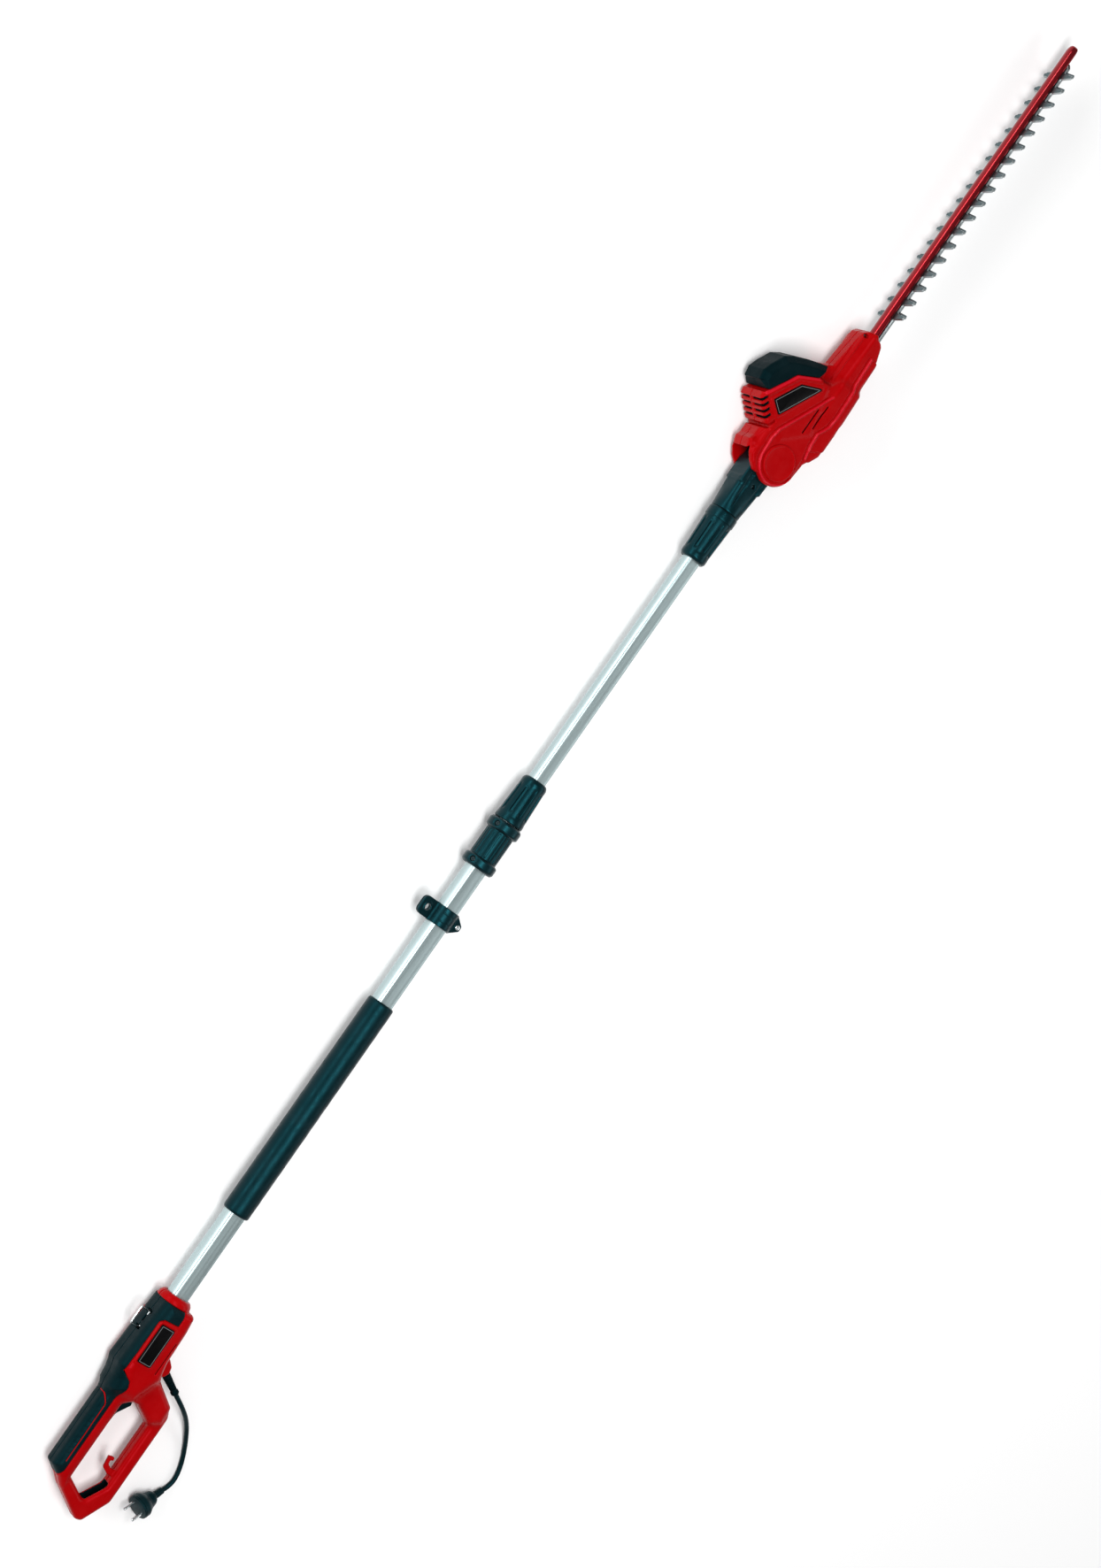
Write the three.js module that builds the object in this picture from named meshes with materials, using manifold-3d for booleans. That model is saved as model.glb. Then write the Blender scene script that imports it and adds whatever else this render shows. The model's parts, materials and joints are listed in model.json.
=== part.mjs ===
// Electric pole hedge trimmer with a telescopic aluminium pole, lying on its side.
// Units are millimetres. X runs along the pole from the rear handle to the blade tip,
// Y points to the top of the tool (the motor side) and Z is the tool's left-right axis.
// Inside the trimmer group the pole axis is the X axis and X = 0 is the handle's front rim.
// The group is shifted so that the origin lies under the middle of the tool, on the surface
// that the tool rests on.

import * as THREE from 'three';
import Module from 'manifold-3d';
import { mergeVertices } from 'three/addons/utils/BufferGeometryUtils.js';
import { ConvexGeometry } from 'three/addons/geometries/ConvexGeometry.js';

const wasm = await Module();
wasm.setup();

// ---------------------------------------------------------------- driving dimensions

const GAP = 0.3;                     // clearance between touching pieces
const REST_HALF_WIDTH = 34;          // pole axis above the surface that the tool lies on

const HANDLE_REAR = -332.5;
const REAR_ROUNDING = 2.4;           // what the rear corner's rounding takes off its reach
const HANDLE_BOTTOM = -99;
const GRIP_HALF_WIDTH = 19;
const GUARD_HALF_WIDTH = 14;
const BODY_HALF_WIDTH = 32;
const OVERMOULD = 2.5;               // thickness of the soft black skin

const OUTER_TUBE = { radius: 16.75, flat: 12.8, wall: 1.2, start: -70, end: 788 };
const INNER_TUBE = { radius: 13.9, flat: 11.3, wall: 1.2, start: 600, end: 1320 };
const FOAM = { start: 140, end: 497, radius: 20.7 };
const CLAMP = { middle: 644, width: 29, radius: 19.5 };
const COLLAR = { start: 727.4, flangeEnd: 744, flangeStart: 788, end: 805 };
const COLLAR_NUT = { start: 806, end: 878 };
const UNION_NUT = { start: 1263.7, coneEnd: 1332.4, end: 1346.5 };

const PIVOT = { x: 1446, y: -8 };    // head tilt axis, parallel to Z
const HEAD_HALF_WIDTH = 31;
const CHEEK_RADIUS = 36.5;
const YOKE_HALF_WIDTH = 20;
const PIVOT_COVER_RADIUS = 27;
const HEAD_TOP = 104;                // motor cap's top, above the pivot
const MOTOR_LEAN = Math.PI / 6;      // motor axis leans forward from Y by this angle
const MOTOR_FOOT = { x: 48, y: -17 };

const GEAR_X = 77;                   // drive gear axis, ahead of the pivot
const CRANK = 6.35;                  // eccentric radius, a quarter of the tooth pitch
const BLADE_LEAD = 1.41;             // how far each blade stands from mid stroke at rest
const UPPER_BLADE = { top: -31.9, bottom: -34.4 };
const LOWER_BLADE = { top: -34.8, bottom: -37.3 };
const BAR = { start: 122, end: 761, halfWidth: 9.7, bottom: -31.6, top: -21.6 };
const TOOTH = { first: 281.6, pitch: 25.4, count: 18, reach: 33, base: 6.2, tip: 3 };
const BLADE_BACK = 12;               // half width of the blades' plain back
const BLADE_SLOT = 12.4;             // half length of the slot that an eccentric runs in
const BLADE_SCREWS = [245, 395, 548, 700];

const CORD_RADIUS = 3.5;
const FLOOR = -REST_HALF_WIDTH;

// ---------------------------------------------------------------- materials

const finish = (color, roughness, metalness) => ({ color, roughness, metalness });
const RED = finish(0xc8060c, 0.38, 0);
const BLACK = finish(0x16191b, 0.5, 0);
const SOFT_BLACK = finish(0x1c2326, 0.75, 0);
const FOAM_BLACK = finish(0x17191a, 0.95, 0);
const LABEL_BLACK = finish(0x090909, 0.25, 0);
const ALUMINIUM = finish(0xb4c2c4, 0.35, 0.9);
const STEEL = finish(0x8c9496, 0.32, 1);
const BRIGHT_STEEL = finish(0xc9cccd, 0.22, 1);
const COPPER = finish(0xa5623a, 0.4, 1);
const RED_PAINT = finish(0xb8040c, 0.22, 0.3);

// ---------------------------------------------------------------- solid helpers

function solid(geometry) {
  const bare = geometry.index ? geometry.toNonIndexed() : geometry.clone();
  bare.deleteAttribute('normal');
  bare.deleteAttribute('uv');
  const merged = mergeVertices(bare, 1e-4);
  const position = merged.getAttribute('position');
  const source = merged.index.array;
  const triangles = [];
  const corner = [new THREE.Vector3(), new THREE.Vector3(), new THREE.Vector3()];
  let volume = 0;
  for (let i = 0; i < source.length; i += 3) {
    const [a, b, c] = [source[i], source[i + 1], source[i + 2]];
    if (a !== b && b !== c && a !== c) {
      triangles.push(a, b, c);
      corner.forEach((point, k) => point.fromBufferAttribute(position, source[i + k]));
      volume += corner[0].dot(corner[1].cross(corner[2]));
    }
  }
  if (volume < 0) {
    for (let i = 0; i < triangles.length; i += 3) {
      [triangles[i], triangles[i + 1]] = [triangles[i + 1], triangles[i]];
    }
  }
  return new wasm.Manifold(new wasm.Mesh({
    numProp: 3,
    vertProperties: new Float32Array(position.array),
    triVerts: new Uint32Array(triangles),
  }));
}

function geometryOf(manifold) {
  const mesh = manifold.getMesh();
  const geometry = new THREE.BufferGeometry();
  geometry.setAttribute('position', new THREE.BufferAttribute(mesh.vertProperties, 3));
  geometry.setIndex(new THREE.BufferAttribute(mesh.triVerts, 1));
  geometry.computeVertexNormals();
  return geometry;
}

function place(group, name, manifold, material) {
  const surface = new THREE.MeshStandardMaterial(material);
  const mesh = new THREE.Mesh(geometryOf(manifold), surface);
  mesh.name = name;
  group.add(mesh);
  return mesh;
}

const join = (...pieces) => pieces.reduce((sum, piece) => sum.add(piece));
const cut = (piece, ...tools) => tools.reduce((rest, tool) => rest.subtract(tool), piece);

// The largest body of a piece, without the loose slivers that a cut can leave.
function mainBody(piece) {
  const bodies = piece.decompose();
  return bodies.reduce((best, body) => (body.volume() > best.volume() ? body : best));
}

// Corners are [x, y, radius]; a radius rounds the corner with a true arc.
function rounded(corners, steps = 2) {
  const points = [];
  corners.forEach(([x, y, radius = 0], i) => {
    const here = new THREE.Vector2(x, y);
    if (radius === 0) {
      points.push(here);
      return;
    }
    const last = corners[(i + corners.length - 1) % corners.length];
    const next = corners[(i + 1) % corners.length];
    const back = new THREE.Vector2(last[0], last[1]).sub(here).normalize();
    const ahead = new THREE.Vector2(next[0], next[1]).sub(here).normalize();
    const half = Math.acos(THREE.MathUtils.clamp(back.dot(ahead), -1, 1)) / 2;
    const toCentre = back.clone().add(ahead).normalize();
    const centre = here.clone().addScaledVector(toCentre, radius / Math.sin(half));
    const start = here.clone().addScaledVector(back, radius / Math.tan(half)).sub(centre);
    const end = here.clone().addScaledVector(ahead, radius / Math.tan(half)).sub(centre);
    let sweep = end.angle() - start.angle();
    sweep -= Math.round(sweep / (2 * Math.PI)) * 2 * Math.PI;
    for (let k = 0; k <= steps; k += 1) {
      const point = start.clone().rotateAround(new THREE.Vector2(), (sweep * k) / steps);
      points.push(point.add(centre));
    }
  });
  return points;
}

function arc(x, y, radius, fromDegrees, toDegrees, steps) {
  const points = [];
  for (let k = 0; k <= steps; k += 1) {
    const angle = THREE.MathUtils.degToRad(fromDegrees + ((toDegrees - fromDegrees) * k) / steps);
    points.push(new THREE.Vector2(x + radius * Math.cos(angle), y + radius * Math.sin(angle)));
  }
  return points;
}

// A flat outline in XY given thickness from zLow to zHigh, with rounded edges if bevel > 0.
function plate(points, zLow, zHigh, { holes = [], bevel = 0, steps = 2 } = {}) {
  const shape = new THREE.Shape(points);
  holes.forEach((hole) => shape.holes.push(new THREE.Path(hole)));
  const geometry = new THREE.ExtrudeGeometry(shape, {
    depth: zHigh - zLow - 2 * bevel,
    bevelEnabled: bevel > 0,
    bevelThickness: bevel,
    bevelSize: bevel,
    bevelOffset: -bevel,
    bevelSegments: steps,
    curveSegments: 1,
  });
  return solid(geometry.translate(0, 0, zLow + bevel));
}

const box = (x0, x1, y0, y1, z0, z1) => solid(
  new THREE.BoxGeometry(x1 - x0, y1 - y0, z1 - z0)
    .translate((x0 + x1) / 2, (y0 + y1) / 2, (z0 + z1) / 2),
);

// A section in YZ carried along X.
function alongX(points, x0, x1, holes = []) {
  const shape = new THREE.Shape(points);
  holes.forEach((hole) => shape.holes.push(new THREE.Path(hole)));
  const geometry = new THREE.ExtrudeGeometry(shape, { depth: x1 - x0, bevelEnabled: false });
  const toX = new THREE.Matrix4().makeBasis(
    new THREE.Vector3(0, 1, 0),
    new THREE.Vector3(0, 0, 1),
    new THREE.Vector3(1, 0, 0),
  );
  return solid(geometry.applyMatrix4(toX).translate(x0, 0, 0));
}

// A profile of [x, radius] turned about X.
function turnedX(profile, segments = 24) {
  const points = profile.map(([x, radius]) => new THREE.Vector2(radius, x));
  return solid(new THREE.LatheGeometry(points, segments).rotateZ(-Math.PI / 2));
}

// A profile of [y, radius] turned about Y.
function turnedY(profile, segments = 24) {
  const points = profile.map(([y, radius]) => new THREE.Vector2(radius, y));
  return solid(new THREE.LatheGeometry(points, segments));
}

function rodZ(x, y, radius, z0, z1, segments = 20) {
  const geometry = new THREE.CylinderGeometry(radius, radius, z1 - z0, segments);
  return solid(geometry.rotateX(Math.PI / 2).translate(x, y, (z0 + z1) / 2));
}

function rodY(x, z, radius, y0, y1, segments = 20) {
  const geometry = new THREE.CylinderGeometry(radius, radius, y1 - y0, segments);
  return solid(geometry.translate(x, (y0 + y1) / 2, z));
}

// A round tube of the given section swept along points.
function swept(points, radius, sides, steps, tension = 0.5) {
  const path = new THREE.CatmullRomCurve3(points, false, 'centripetal', tension);
  const section = new THREE.Shape(arc(0, 0, radius, 0, 360 * (1 - 1 / sides), sides - 1));
  return solid(new THREE.ExtrudeGeometry(section, { extrudePath: path, steps }));
}

const WIDE = 500;
const nearHalf = (piece) => piece.intersect(box(-WIDE, 5 * WIDE, -WIDE, WIDE, GAP / 2, WIDE));
const farHalf = (piece) => piece.intersect(box(-WIDE, 5 * WIDE, -WIDE, WIDE, -WIDE, -GAP / 2));

// ---------------------------------------------------------------- rear handle

const LOOP_HOLE = [
  [-285, -19.5, 6],
  [-306, -58.5, 5],
  [-276, -78.5, 12],
  [-172, -78.5, 9],
  [-152, -42, 8],
  [-154, -20, 7],
];

// The handle's outer form, shrunk on every side by inset.
function handleForm(inset = 0) {
  const grow = (z) => z - inset;
  const ring = plate(
    rounded([
      [-281 - inset, 15.5 - inset, 0],
      [HANDLE_REAR - REAR_ROUNDING + inset, -68, 14],
      [-326 + inset, -82, 12],
      [-292, HANDLE_BOTTOM + inset, 14],
      [-150, HANDLE_BOTTOM + inset, 14],
      [-136 - inset, -87, 12],
      [-108 - inset, -42, 0],
      [-112, 0, 0],
      [-140, 15.5 - inset, 0],
    ]),
    -grow(GUARD_HALF_WIDTH),
    grow(GUARD_HALF_WIDTH),
    { holes: [rounded(LOOP_HOLE)], bevel: 7 },
  );
  const strut = plate(
    [[-153, -12], [-153, -21], [-151, -42], [-167, -72], [-160, -86], [-137, -86],
      [-109, -43], [-106, -20]].map(([x, y]) => new THREE.Vector2(x, y)),
    -grow(20),
    grow(20),
    { bevel: 7 },
  );
  const grip = plate(
    rounded([
      [-280 - inset, 16.5 - inset, 0],
      [-302 + inset, -18 + inset, 0],
      [-130, -18 + inset, 0],
      [-130, 16.5 - inset, 0],
    ]),
    -grow(GRIP_HALF_WIDTH),
    grow(GRIP_HALF_WIDTH),
    { bevel: 11 },
  );
  const body = plate(
    rounded([
      [-152 + inset, 16 - inset, 0],
      [-134, 19.5 - inset, 12],
      [-115.6, 28 - inset, 14],
      [-60.5, 25.3 - inset, 0],
      [-8.5 - inset, 21.5 - inset, 0],
      [-8.5 - inset, -29.5 + inset, 0],
      [-32.5, -33 + inset, 0],
      [-81, -35 + inset, 0],
      [-108, -41 + inset, 0],
      [-150 + inset, -22, 0],
    ]),
    -grow(BODY_HALF_WIDTH),
    grow(BODY_HALF_WIDTH),
    { bevel: 12, steps: 3 },
  );
  return join(ring, strut, grip, body);
}

// The area of the side view that the soft black skin covers, from the parting plane outwards.
function skinArea(margin) {
  const corners = [
    [-350, 3 + margin],
    [-290, 3 + margin],
    [-279, -0.5 + margin],
    [-137, -1.5 + margin],
    [-131 - margin, 1 + margin],
    [-124 - margin, 17 + margin],
    [-41 + margin, 14.5 + margin],
    [-35 + margin, 9 + margin],
    [-33.8 + margin, -12.7 + margin],
    [-9.5 - margin, -12.7 + margin],
    [-9.5 - margin, 60],
    [-350, 60],
  ];
  return plate(corners.map(([x, y]) => new THREE.Vector2(x, y)), -60, 60);
}

const EXIT = new THREE.Vector3(-99, -55.5, 0);
const EXIT_DIRECTION = new THREE.Vector3(-0.467, -0.884, 0).normalize();
const EXIT_TURN = Math.atan2(EXIT_DIRECTION.y, EXIT_DIRECTION.x);

// Points of [distance, radius] turned about the cord's exit line.
function turnedAtExit(profile, segments) {
  return turnedX(profile, segments).rotate([0, 0, THREE.MathUtils.radToDeg(EXIT_TURN)])
    .translate([EXIT.x, EXIT.y, 0]);
}

function handleRoom() {
  const tubeSocket = alongX(doubleD(OUTER_TUBE.radius + GAP, OUTER_TUBE.flat + GAP), -70.3, 20);
  const bodyRoom = box(-140, -73, -27, 17, -27, 27);
  const cableRoom = box(-104, -88, -44, -20, -5, 5);
  const gripRoom = box(-238, -138, -15, 11, -12, 12);
  const triggerSlot = box(-234, -149.3, -45, -10, -7.6, 7.6);
  const reliefSocket = turnedAtExit([[-7.3, 0], [-7.3, 7.8], [3, 7.8], [3, 0]], 16);
  const ringGroove = join(
    box(-65, -60, 19.5, 40, -6.8, 6.8),
    box(-38, -33, 19.5, 40, -6.8, 6.8),
    box(-61, -37, 19.9, 24.1, -2.1, 2.1),
  );
  const pocket = plate(
    vectors([[-303, -56], [-309, -66], [-294, -85], [-276, -88], [-270, -76]]),
    -8,
    8,
  );
  return join(tubeSocket, bodyRoom, cableRoom, gripRoom, triggerSlot, reliefSocket,
    ringGroove, pocket);
}

// The round rim that the pole comes out of, grown by margin.
function handleRim(margin) {
  return turnedX([[-9.5 - margin, 0], [-9.5 - margin, 26.6 + margin], [-4, 25.6 + margin],
    [0, 23 + margin], [2 + margin, 20.4], [2 + margin, 0]], 24);
}

function handleShells(group) {
  const form = handleForm();
  const rim = handleRim(0);
  const boss = plate(
    rounded([[-112, -40, 0], [-104, -53.5, 3], [-96, -57.5, 3], [-87, -55, 3], [-79, -46, 3],
      [-74, -34, 0], [-100, -28, 0]]),
    -11,
    11,
    { bevel: 2, steps: 1 },
  );
  const hook = plate(
    rounded([[-261.5, -80.5, 0], [-260, -70, 2], [-254, -59, 3], [-236, -56, 2], [-235, -66, 2],
      [-240, -67, 0], [-241.5, -62.5, 0], [-247.5, -64, 2], [-251, -72, 2], [-250, -80.5, 0]], 2),
    -5,
    5,
  );
  const inner = handleForm(OVERMOULD);
  const area = skinArea(0);
  const labelSeat = (side) => box(-100, -37.8, -10.5, 14, side > 0 ? 31 : -40, side > 0 ? 40 : -31);
  const shell = cut(
    join(cut(form, cut(area, inner)), rim, boss),
    handleRoom(),
    labelSeat(1),
    labelSeat(-1),
  );
  const screwHoles = HANDLE_SCREWS.map(([x, y]) => join(
    rodZ(x, y, 4.2, -60, -9.7, 12),
    rodZ(x, y, 1.8, -20, 8.3, 8),
  ));
  const lockHole = rodZ(LOCK_OFF.x, LOCK_OFF.y, 6.8, -40, -10, 20);
  const nearShell = cut(join(nearHalf(shell), nearHalf(hook)), ...screwHoles);
  place(group, 'handle_shell_near', mainBody(nearShell), RED);
  place(group, 'handle_shell_far', mainBody(cut(farHalf(shell), ...screwHoles, lockHole)), RED);
  const skin = cut(
    form.intersect(skinArea(GAP)),
    handleForm(OVERMOULD - GAP),
    handleRoom(),
    handleRim(GAP),
  );
  place(group, 'grip_skin_near', mainBody(nearHalf(skin)), SOFT_BLACK);
  place(group, 'grip_skin_far', mainBody(cut(farHalf(skin), lockHole)), SOFT_BLACK);
}

const HANDLE_SCREWS = [[-303, -80], [-150, -80], [-122, -32]];
const LOCK_OFF = { x: -186, y: 3 };

function handleParts(group) {
  const trigger = cut(
    plate(
      rounded([[-230, -8, 2], [-230, -17, 3], [-214, -22.5, 3], [-181, -24, 8], [-161.5, -38, 2],
        [-155.5, -36.5, 2], [-156, -14, 3]]),
      -7,
      7,
      { bevel: 1, steps: 1 },
    ),
    rodZ(-225.5, -12, 1.8, -20, 20, 10),
  );
  place(group, 'trigger', trigger, BLACK);
  place(group, 'switch_block', box(-214, -176, -3, 9, -6.5, 6.5), BLACK);
  const button = join(
    rodZ(LOCK_OFF.x, LOCK_OFF.y, 6.4, -21.5, -10, 20),
    rodZ(LOCK_OFF.x, LOCK_OFF.y, 7.5, -11.5, -9.6, 20),
  );
  place(group, 'lock_off_button', button.intersect(box(-230, -150, -4.4, 10.4, -30, 0)), BLACK);
  const wire = [[-56, 22], [-60.5, 22], [-62.3, 23], [-62.3, 36.5], [-61, 38], [-36.9, 38],
    [-35.6, 36.5], [-35.6, 23], [-37.4, 22], [-42, 22]];
  const bail = swept(wire.map(([x, y]) => new THREE.Vector3(x, y, 0)), 1.6, 6, 24);
  place(group, 'strap_ring', bail, BRIGHT_STEEL);
  const label = rounded([[-99.5, -10, 2], [-38.3, -10, 2], [-38.3, 13.5, 2], [-99.5, 13.5, 2]], 2);
  place(group, 'handle_label_near', plate(label, 31.3, REST_HALF_WIDTH), LABEL_BLACK);
  place(group, 'handle_label_far', plate(label, -REST_HALF_WIDTH, -31.3), LABEL_BLACK);
  HANDLE_SCREWS.forEach(([x, y], i) => {
    const screw = place(group, `handle_screw_${i + 1}`, screwSolid(3.6, 1.5, 3, 16), STEEL);
    screw.position.set(x, y, -10);
  });
}

// A screw along +Z with its head below z = 0 and its shank above.
function screwSolid(headRadius, shankRadius, headHeight, length) {
  const slot = box(-headRadius, headRadius, -0.6, 0.6, -headHeight - 1, 1.2 - headHeight);
  const body = join(
    rodZ(0, 0, headRadius, -headHeight, 0, 10),
    rodZ(0, 0, shankRadius, -0.5, length, 6),
  );
  return cut(body, slot);
}

// ---------------------------------------------------------------- mains cord and plug

const RELIEF_LENGTH = 41;
const RELIEF_END = EXIT.clone().addScaledVector(EXIT_DIRECTION, RELIEF_LENGTH);
const PLUG_START = new THREE.Vector3(-249.9, -186.2, FLOOR + 5.4);
const PLUG_DIRECTION = new THREE.Vector3(-0.762, 0.603, 0.328).normalize();

// The cord's middle line from the strain relief to the plug, in the trimmer's own frame.
const CORD_ROUTE = [
  [-118.35, -92.05, 0],
  [-122.6, -100.2, -0.3],
  [-127, -108.8, -1.2],
  [-131.4, -117.4, -3.2],
  [-136, -126, -6.4],
  [-141, -134.6, -10.4],
  [-146.8, -143.2, -14.8],
  [-153.6, -151.6, -19],
  [-161.6, -159.8, -22.8],
  [-170.6, -167.6, -26],
  [-180.4, -175, -28.6],
  [-191, -181.6, -30],
  [-202.4, -187.2, -30.5],
  [-214.4, -191.4, -30.5],
  [-226.6, -193.8, -30.5],
  [-234.5, -193.6, -30.5],
  [-240.5, -192, -30.3],
  [-245.5, -189.6, -29.7],
  [-249.2, -186.8, -28.9],
];

function cordParts(group) {
  const relief = turnedAtExit(
    [[-7, 0], [-7, 7.5], [0, 7.5], [1, 6.4], [34, 4.8], [35, 6], [39, 6], [41, 5], [41, 0]],
    16,
  );
  place(group, 'strain_relief', relief, BLACK);
  const route = CORD_ROUTE.map(([x, y, z]) => new THREE.Vector3(x, y, z));
  place(group, 'power_cord', swept(route, CORD_RADIUS, 8, 20), BLACK);
  const plug = new THREE.Group();
  plug.position.copy(PLUG_START);
  plug.quaternion.setFromUnitVectors(new THREE.Vector3(1, 0, 0), PLUG_DIRECTION);
  const body = turnedX([[0, 0], [0, 4.8], [16, 5.8], [18, 9], [26, 12], [33, 15.5], [38, 18.2],
    [46, 18.2], [48, 17.4], [48, 0]], 20);
  const pinHoles = [1, -1].map((side) => alongX(
    arc(0, side * PIN_OFFSET, 2.4 + GAP, 0, 330, 11),
    40,
    60,
  ));
  place(plug, 'mains_plug', cut(body, ...pinHoles), BLACK);
  [1, -1].forEach((side, i) => {
    const pin = turnedX([[40.3, 0], [40.3, 2.4], [66, 2.4], [67, 1.5], [67, 0]], 12);
    const mesh = place(plug, `plug_pin_${i + 1}`, pin, BRIGHT_STEEL);
    mesh.position.set(0, 0, side * PIN_OFFSET);
  });
  group.add(plug);
}

const PIN_OFFSET = 9.5;

// ---------------------------------------------------------------- pole

// A round tube section flattened on its two Z sides.
function doubleD(radius, flat, steps = 6) {
  const open = THREE.MathUtils.radToDeg(Math.asin(flat / radius));
  return [
    ...arc(0, 0, radius, -open, open, steps),
    ...arc(0, 0, radius, 180 - open, 180 + open, steps),
  ];
}

function tube({ radius, flat, wall, start, end }) {
  return alongX(doubleD(radius, flat), start, end, [doubleD(radius - wall, flat - wall)]);
}

function poleParts(group) {
  place(group, 'outer_tube', tube(OUTER_TUBE), ALUMINIUM);
  const sleeve = turnedX([[FOAM.start, 0], [FOAM.start, FOAM.radius - 3],
    [FOAM.start + 3, FOAM.radius], [FOAM.end - 3, FOAM.radius], [FOAM.end, FOAM.radius - 3],
    [FOAM.end, 0]], 24);
  const bore = alongX(doubleD(OUTER_TUBE.radius + GAP, OUTER_TUBE.flat + GAP), 100, 540);
  place(group, 'foam_grip', cut(sleeve, bore), FOAM_BLACK);
  place(group, 'spiral_cable', turnedX([[-60, 0], [-60, 8], [880, 8], [880, 0]], 10), BLACK);
}

function strapClamp(group) {
  const { middle, width, radius } = CLAMP;
  const [x0, x1] = [middle - width / 2, middle + width / 2];
  const band = turnedX([[x0, 0], [x0, radius - 1], [x0 + 1, radius], [x1 - 1, radius],
    [x1, radius - 1], [x1, 0]], 24);
  const eye = new THREE.Shape().absellipse(middle, 31, 5.4, 4.5, 0, 2 * Math.PI).getPoints(5);
  const tab = plate(
    rounded([[x0, 10, 0], [x1, 10, 0], [x1, 43.5, 6], [x0, 43.5, 6]]),
    -3.6,
    3.6,
    { holes: [eye.slice(0, -1)], bevel: 0.8, steps: 1 },
  );
  const lug = plate(
    rounded([[x0, -14, 0], [x0, -19, 0], [middle, -35, 3], [x1, -19, 0], [x1, -14, 0]]),
    -7,
    7,
    { bevel: 0.8, steps: 1 },
  );
  const bore = alongX(doubleD(OUTER_TUBE.radius + GAP, OUTER_TUBE.flat + GAP), x0 - 5, x1 + 5);
  const clamp = cut(join(band, tab, lug), bore, rodZ(middle, -26.2, 2.3, -20, 20, 10));
  place(group, 'strap_clamp_near', nearHalf(clamp), BLACK);
  place(group, 'strap_clamp_far', farHalf(clamp), BLACK);
  const screw = place(group, 'strap_clamp_screw', screwSolid(3.7, 2, 2.8, 19), BRIGHT_STEEL);
  screw.position.set(middle, -26.2, 7.3);
  screw.rotation.x = Math.PI;
  const nut = cut(rodZ(0, 0, 3.9, -3, 0, 6), rodZ(0, 0, 2.3, -4, 1, 10));
  place(group, 'strap_clamp_nut', nut, BRIGHT_STEEL).position.set(middle, -26.2, -7.3);
}

const COLLAR_SCREW_LEAN = Math.PI / 6;

function collar(group) {
  const { start, flangeEnd, flangeStart, end } = COLLAR;
  const outer = turnedX([[start, 0], [start, 23], [start + 3, 25.7], [flangeEnd - 4, 25.7],
    [flangeEnd, 21], [flangeStart, 21], [flangeStart + 4, 25.7], [end - 4, 25.7], [end, 23],
    [end, 0]], 24);
  const tubeSocket = alongX(doubleD(OUTER_TUBE.radius + GAP, OUTER_TUBE.flat + GAP), 700,
    OUTER_TUBE.end + GAP);
  const innerWay = alongX(doubleD(INNER_TUBE.radius + GAP, INNER_TUBE.flat + GAP), 700, 820);
  const screwWay = (x) => join(
    rodY(x, 0, 3.9, 21.2, 40, 14),
    rodY(x, 0, 1.8, 17.2, 30, 8),
  ).rotate([90 - THREE.MathUtils.radToDeg(Math.PI / 2 - COLLAR_SCREW_LEAN), 0, 0]);
  const screwPlaces = [(start + flangeEnd) / 2, (flangeStart + end) / 2];
  const sleeve = cut(outer, tubeSocket, innerWay, ...screwPlaces.map(screwWay));
  place(group, 'collar_sleeve', sleeve, BLACK);
  screwPlaces.forEach((x, i) => {
    const screw = place(group, `collar_screw_${i + 1}`, screwSolid(3.5, 1.5, 2.6, 3.5), STEEL);
    const lean = COLLAR_SCREW_LEAN;
    screw.position.set(x, 21.5 * Math.cos(lean), 21.5 * Math.sin(lean));
    screw.rotation.x = Math.PI / 2 + lean;
  });
  const collet = cut(
    turnedX([[COLLAR_NUT.start + 2, 0], [COLLAR_NUT.start + 2, 18], [868, 16], [868, 0]], 20),
    alongX(doubleD(INNER_TUBE.radius + GAP, INNER_TUBE.flat + GAP), 800, 880),
    box(800, 860, -1, 1, -30, 30),
  );
  place(group, 'collar_collet', collet, BLACK);
}

// Long finger grooves around a conical nut.
function gripGrooves(x0, x1, r0, r1, count) {
  const grooves = [];
  for (let k = 0; k < count; k += 1) {
    const slope = (Math.atan2(r1 - r0, x1 - x0) * 180) / Math.PI;
    const groove = solid(new THREE.BoxGeometry(x1 - x0, 2.4, 3)
      .translate((x1 - x0) / 2, 0, 0))
      .rotate([0, 0, slope]).translate([x0, r0, 0])
      .rotate([(360 * k) / count, 0, 0]);
    grooves.push(groove);
  }
  return grooves;
}

function collarNut(group) {
  const { start, end } = COLLAR_NUT;
  const outer = turnedX([[start, 0], [start, 22], [start + 2, 22.6], [end - 4, 19], [end, 16.4],
    [end, 0]], 24);
  const room = turnedX([[start - 1, 0], [start - 1, 18.4], [868.4, 16.4], [868.4, 14.3],
    [end + 1, 14.3], [end + 1, 0]], 24);
  place(group, 'collar_nut', cut(outer, room, ...gripGrooves(818, 864, 22.6, 20, 8)), BLACK);
}

function innerTube(group) {
  place(group, 'inner_tube', tube(INNER_TUBE), ALUMINIUM);
}

// ---------------------------------------------------------------- head joint

function unionNut(group) {
  const { start, coneEnd, end } = UNION_NUT;
  const outer = turnedX([[start, 0], [start, 17.6], [start + 4, 20.2], [coneEnd, 22.2],
    [coneEnd + 1.5, 23.1], [end - 2, 23.1], [end, 22], [end, 0]], 24);
  const room = turnedX([[start - 1, 0], [start - 1, 14.3], [1286, 14.3], [1288, 17.9],
    [end + 1, 17.9], [end + 1, 0]], 24);
  place(group, 'head_union_nut', cut(outer, room, ...gripGrooves(1276, 1322, 21, 22.6, 8)), BLACK);
}

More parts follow.
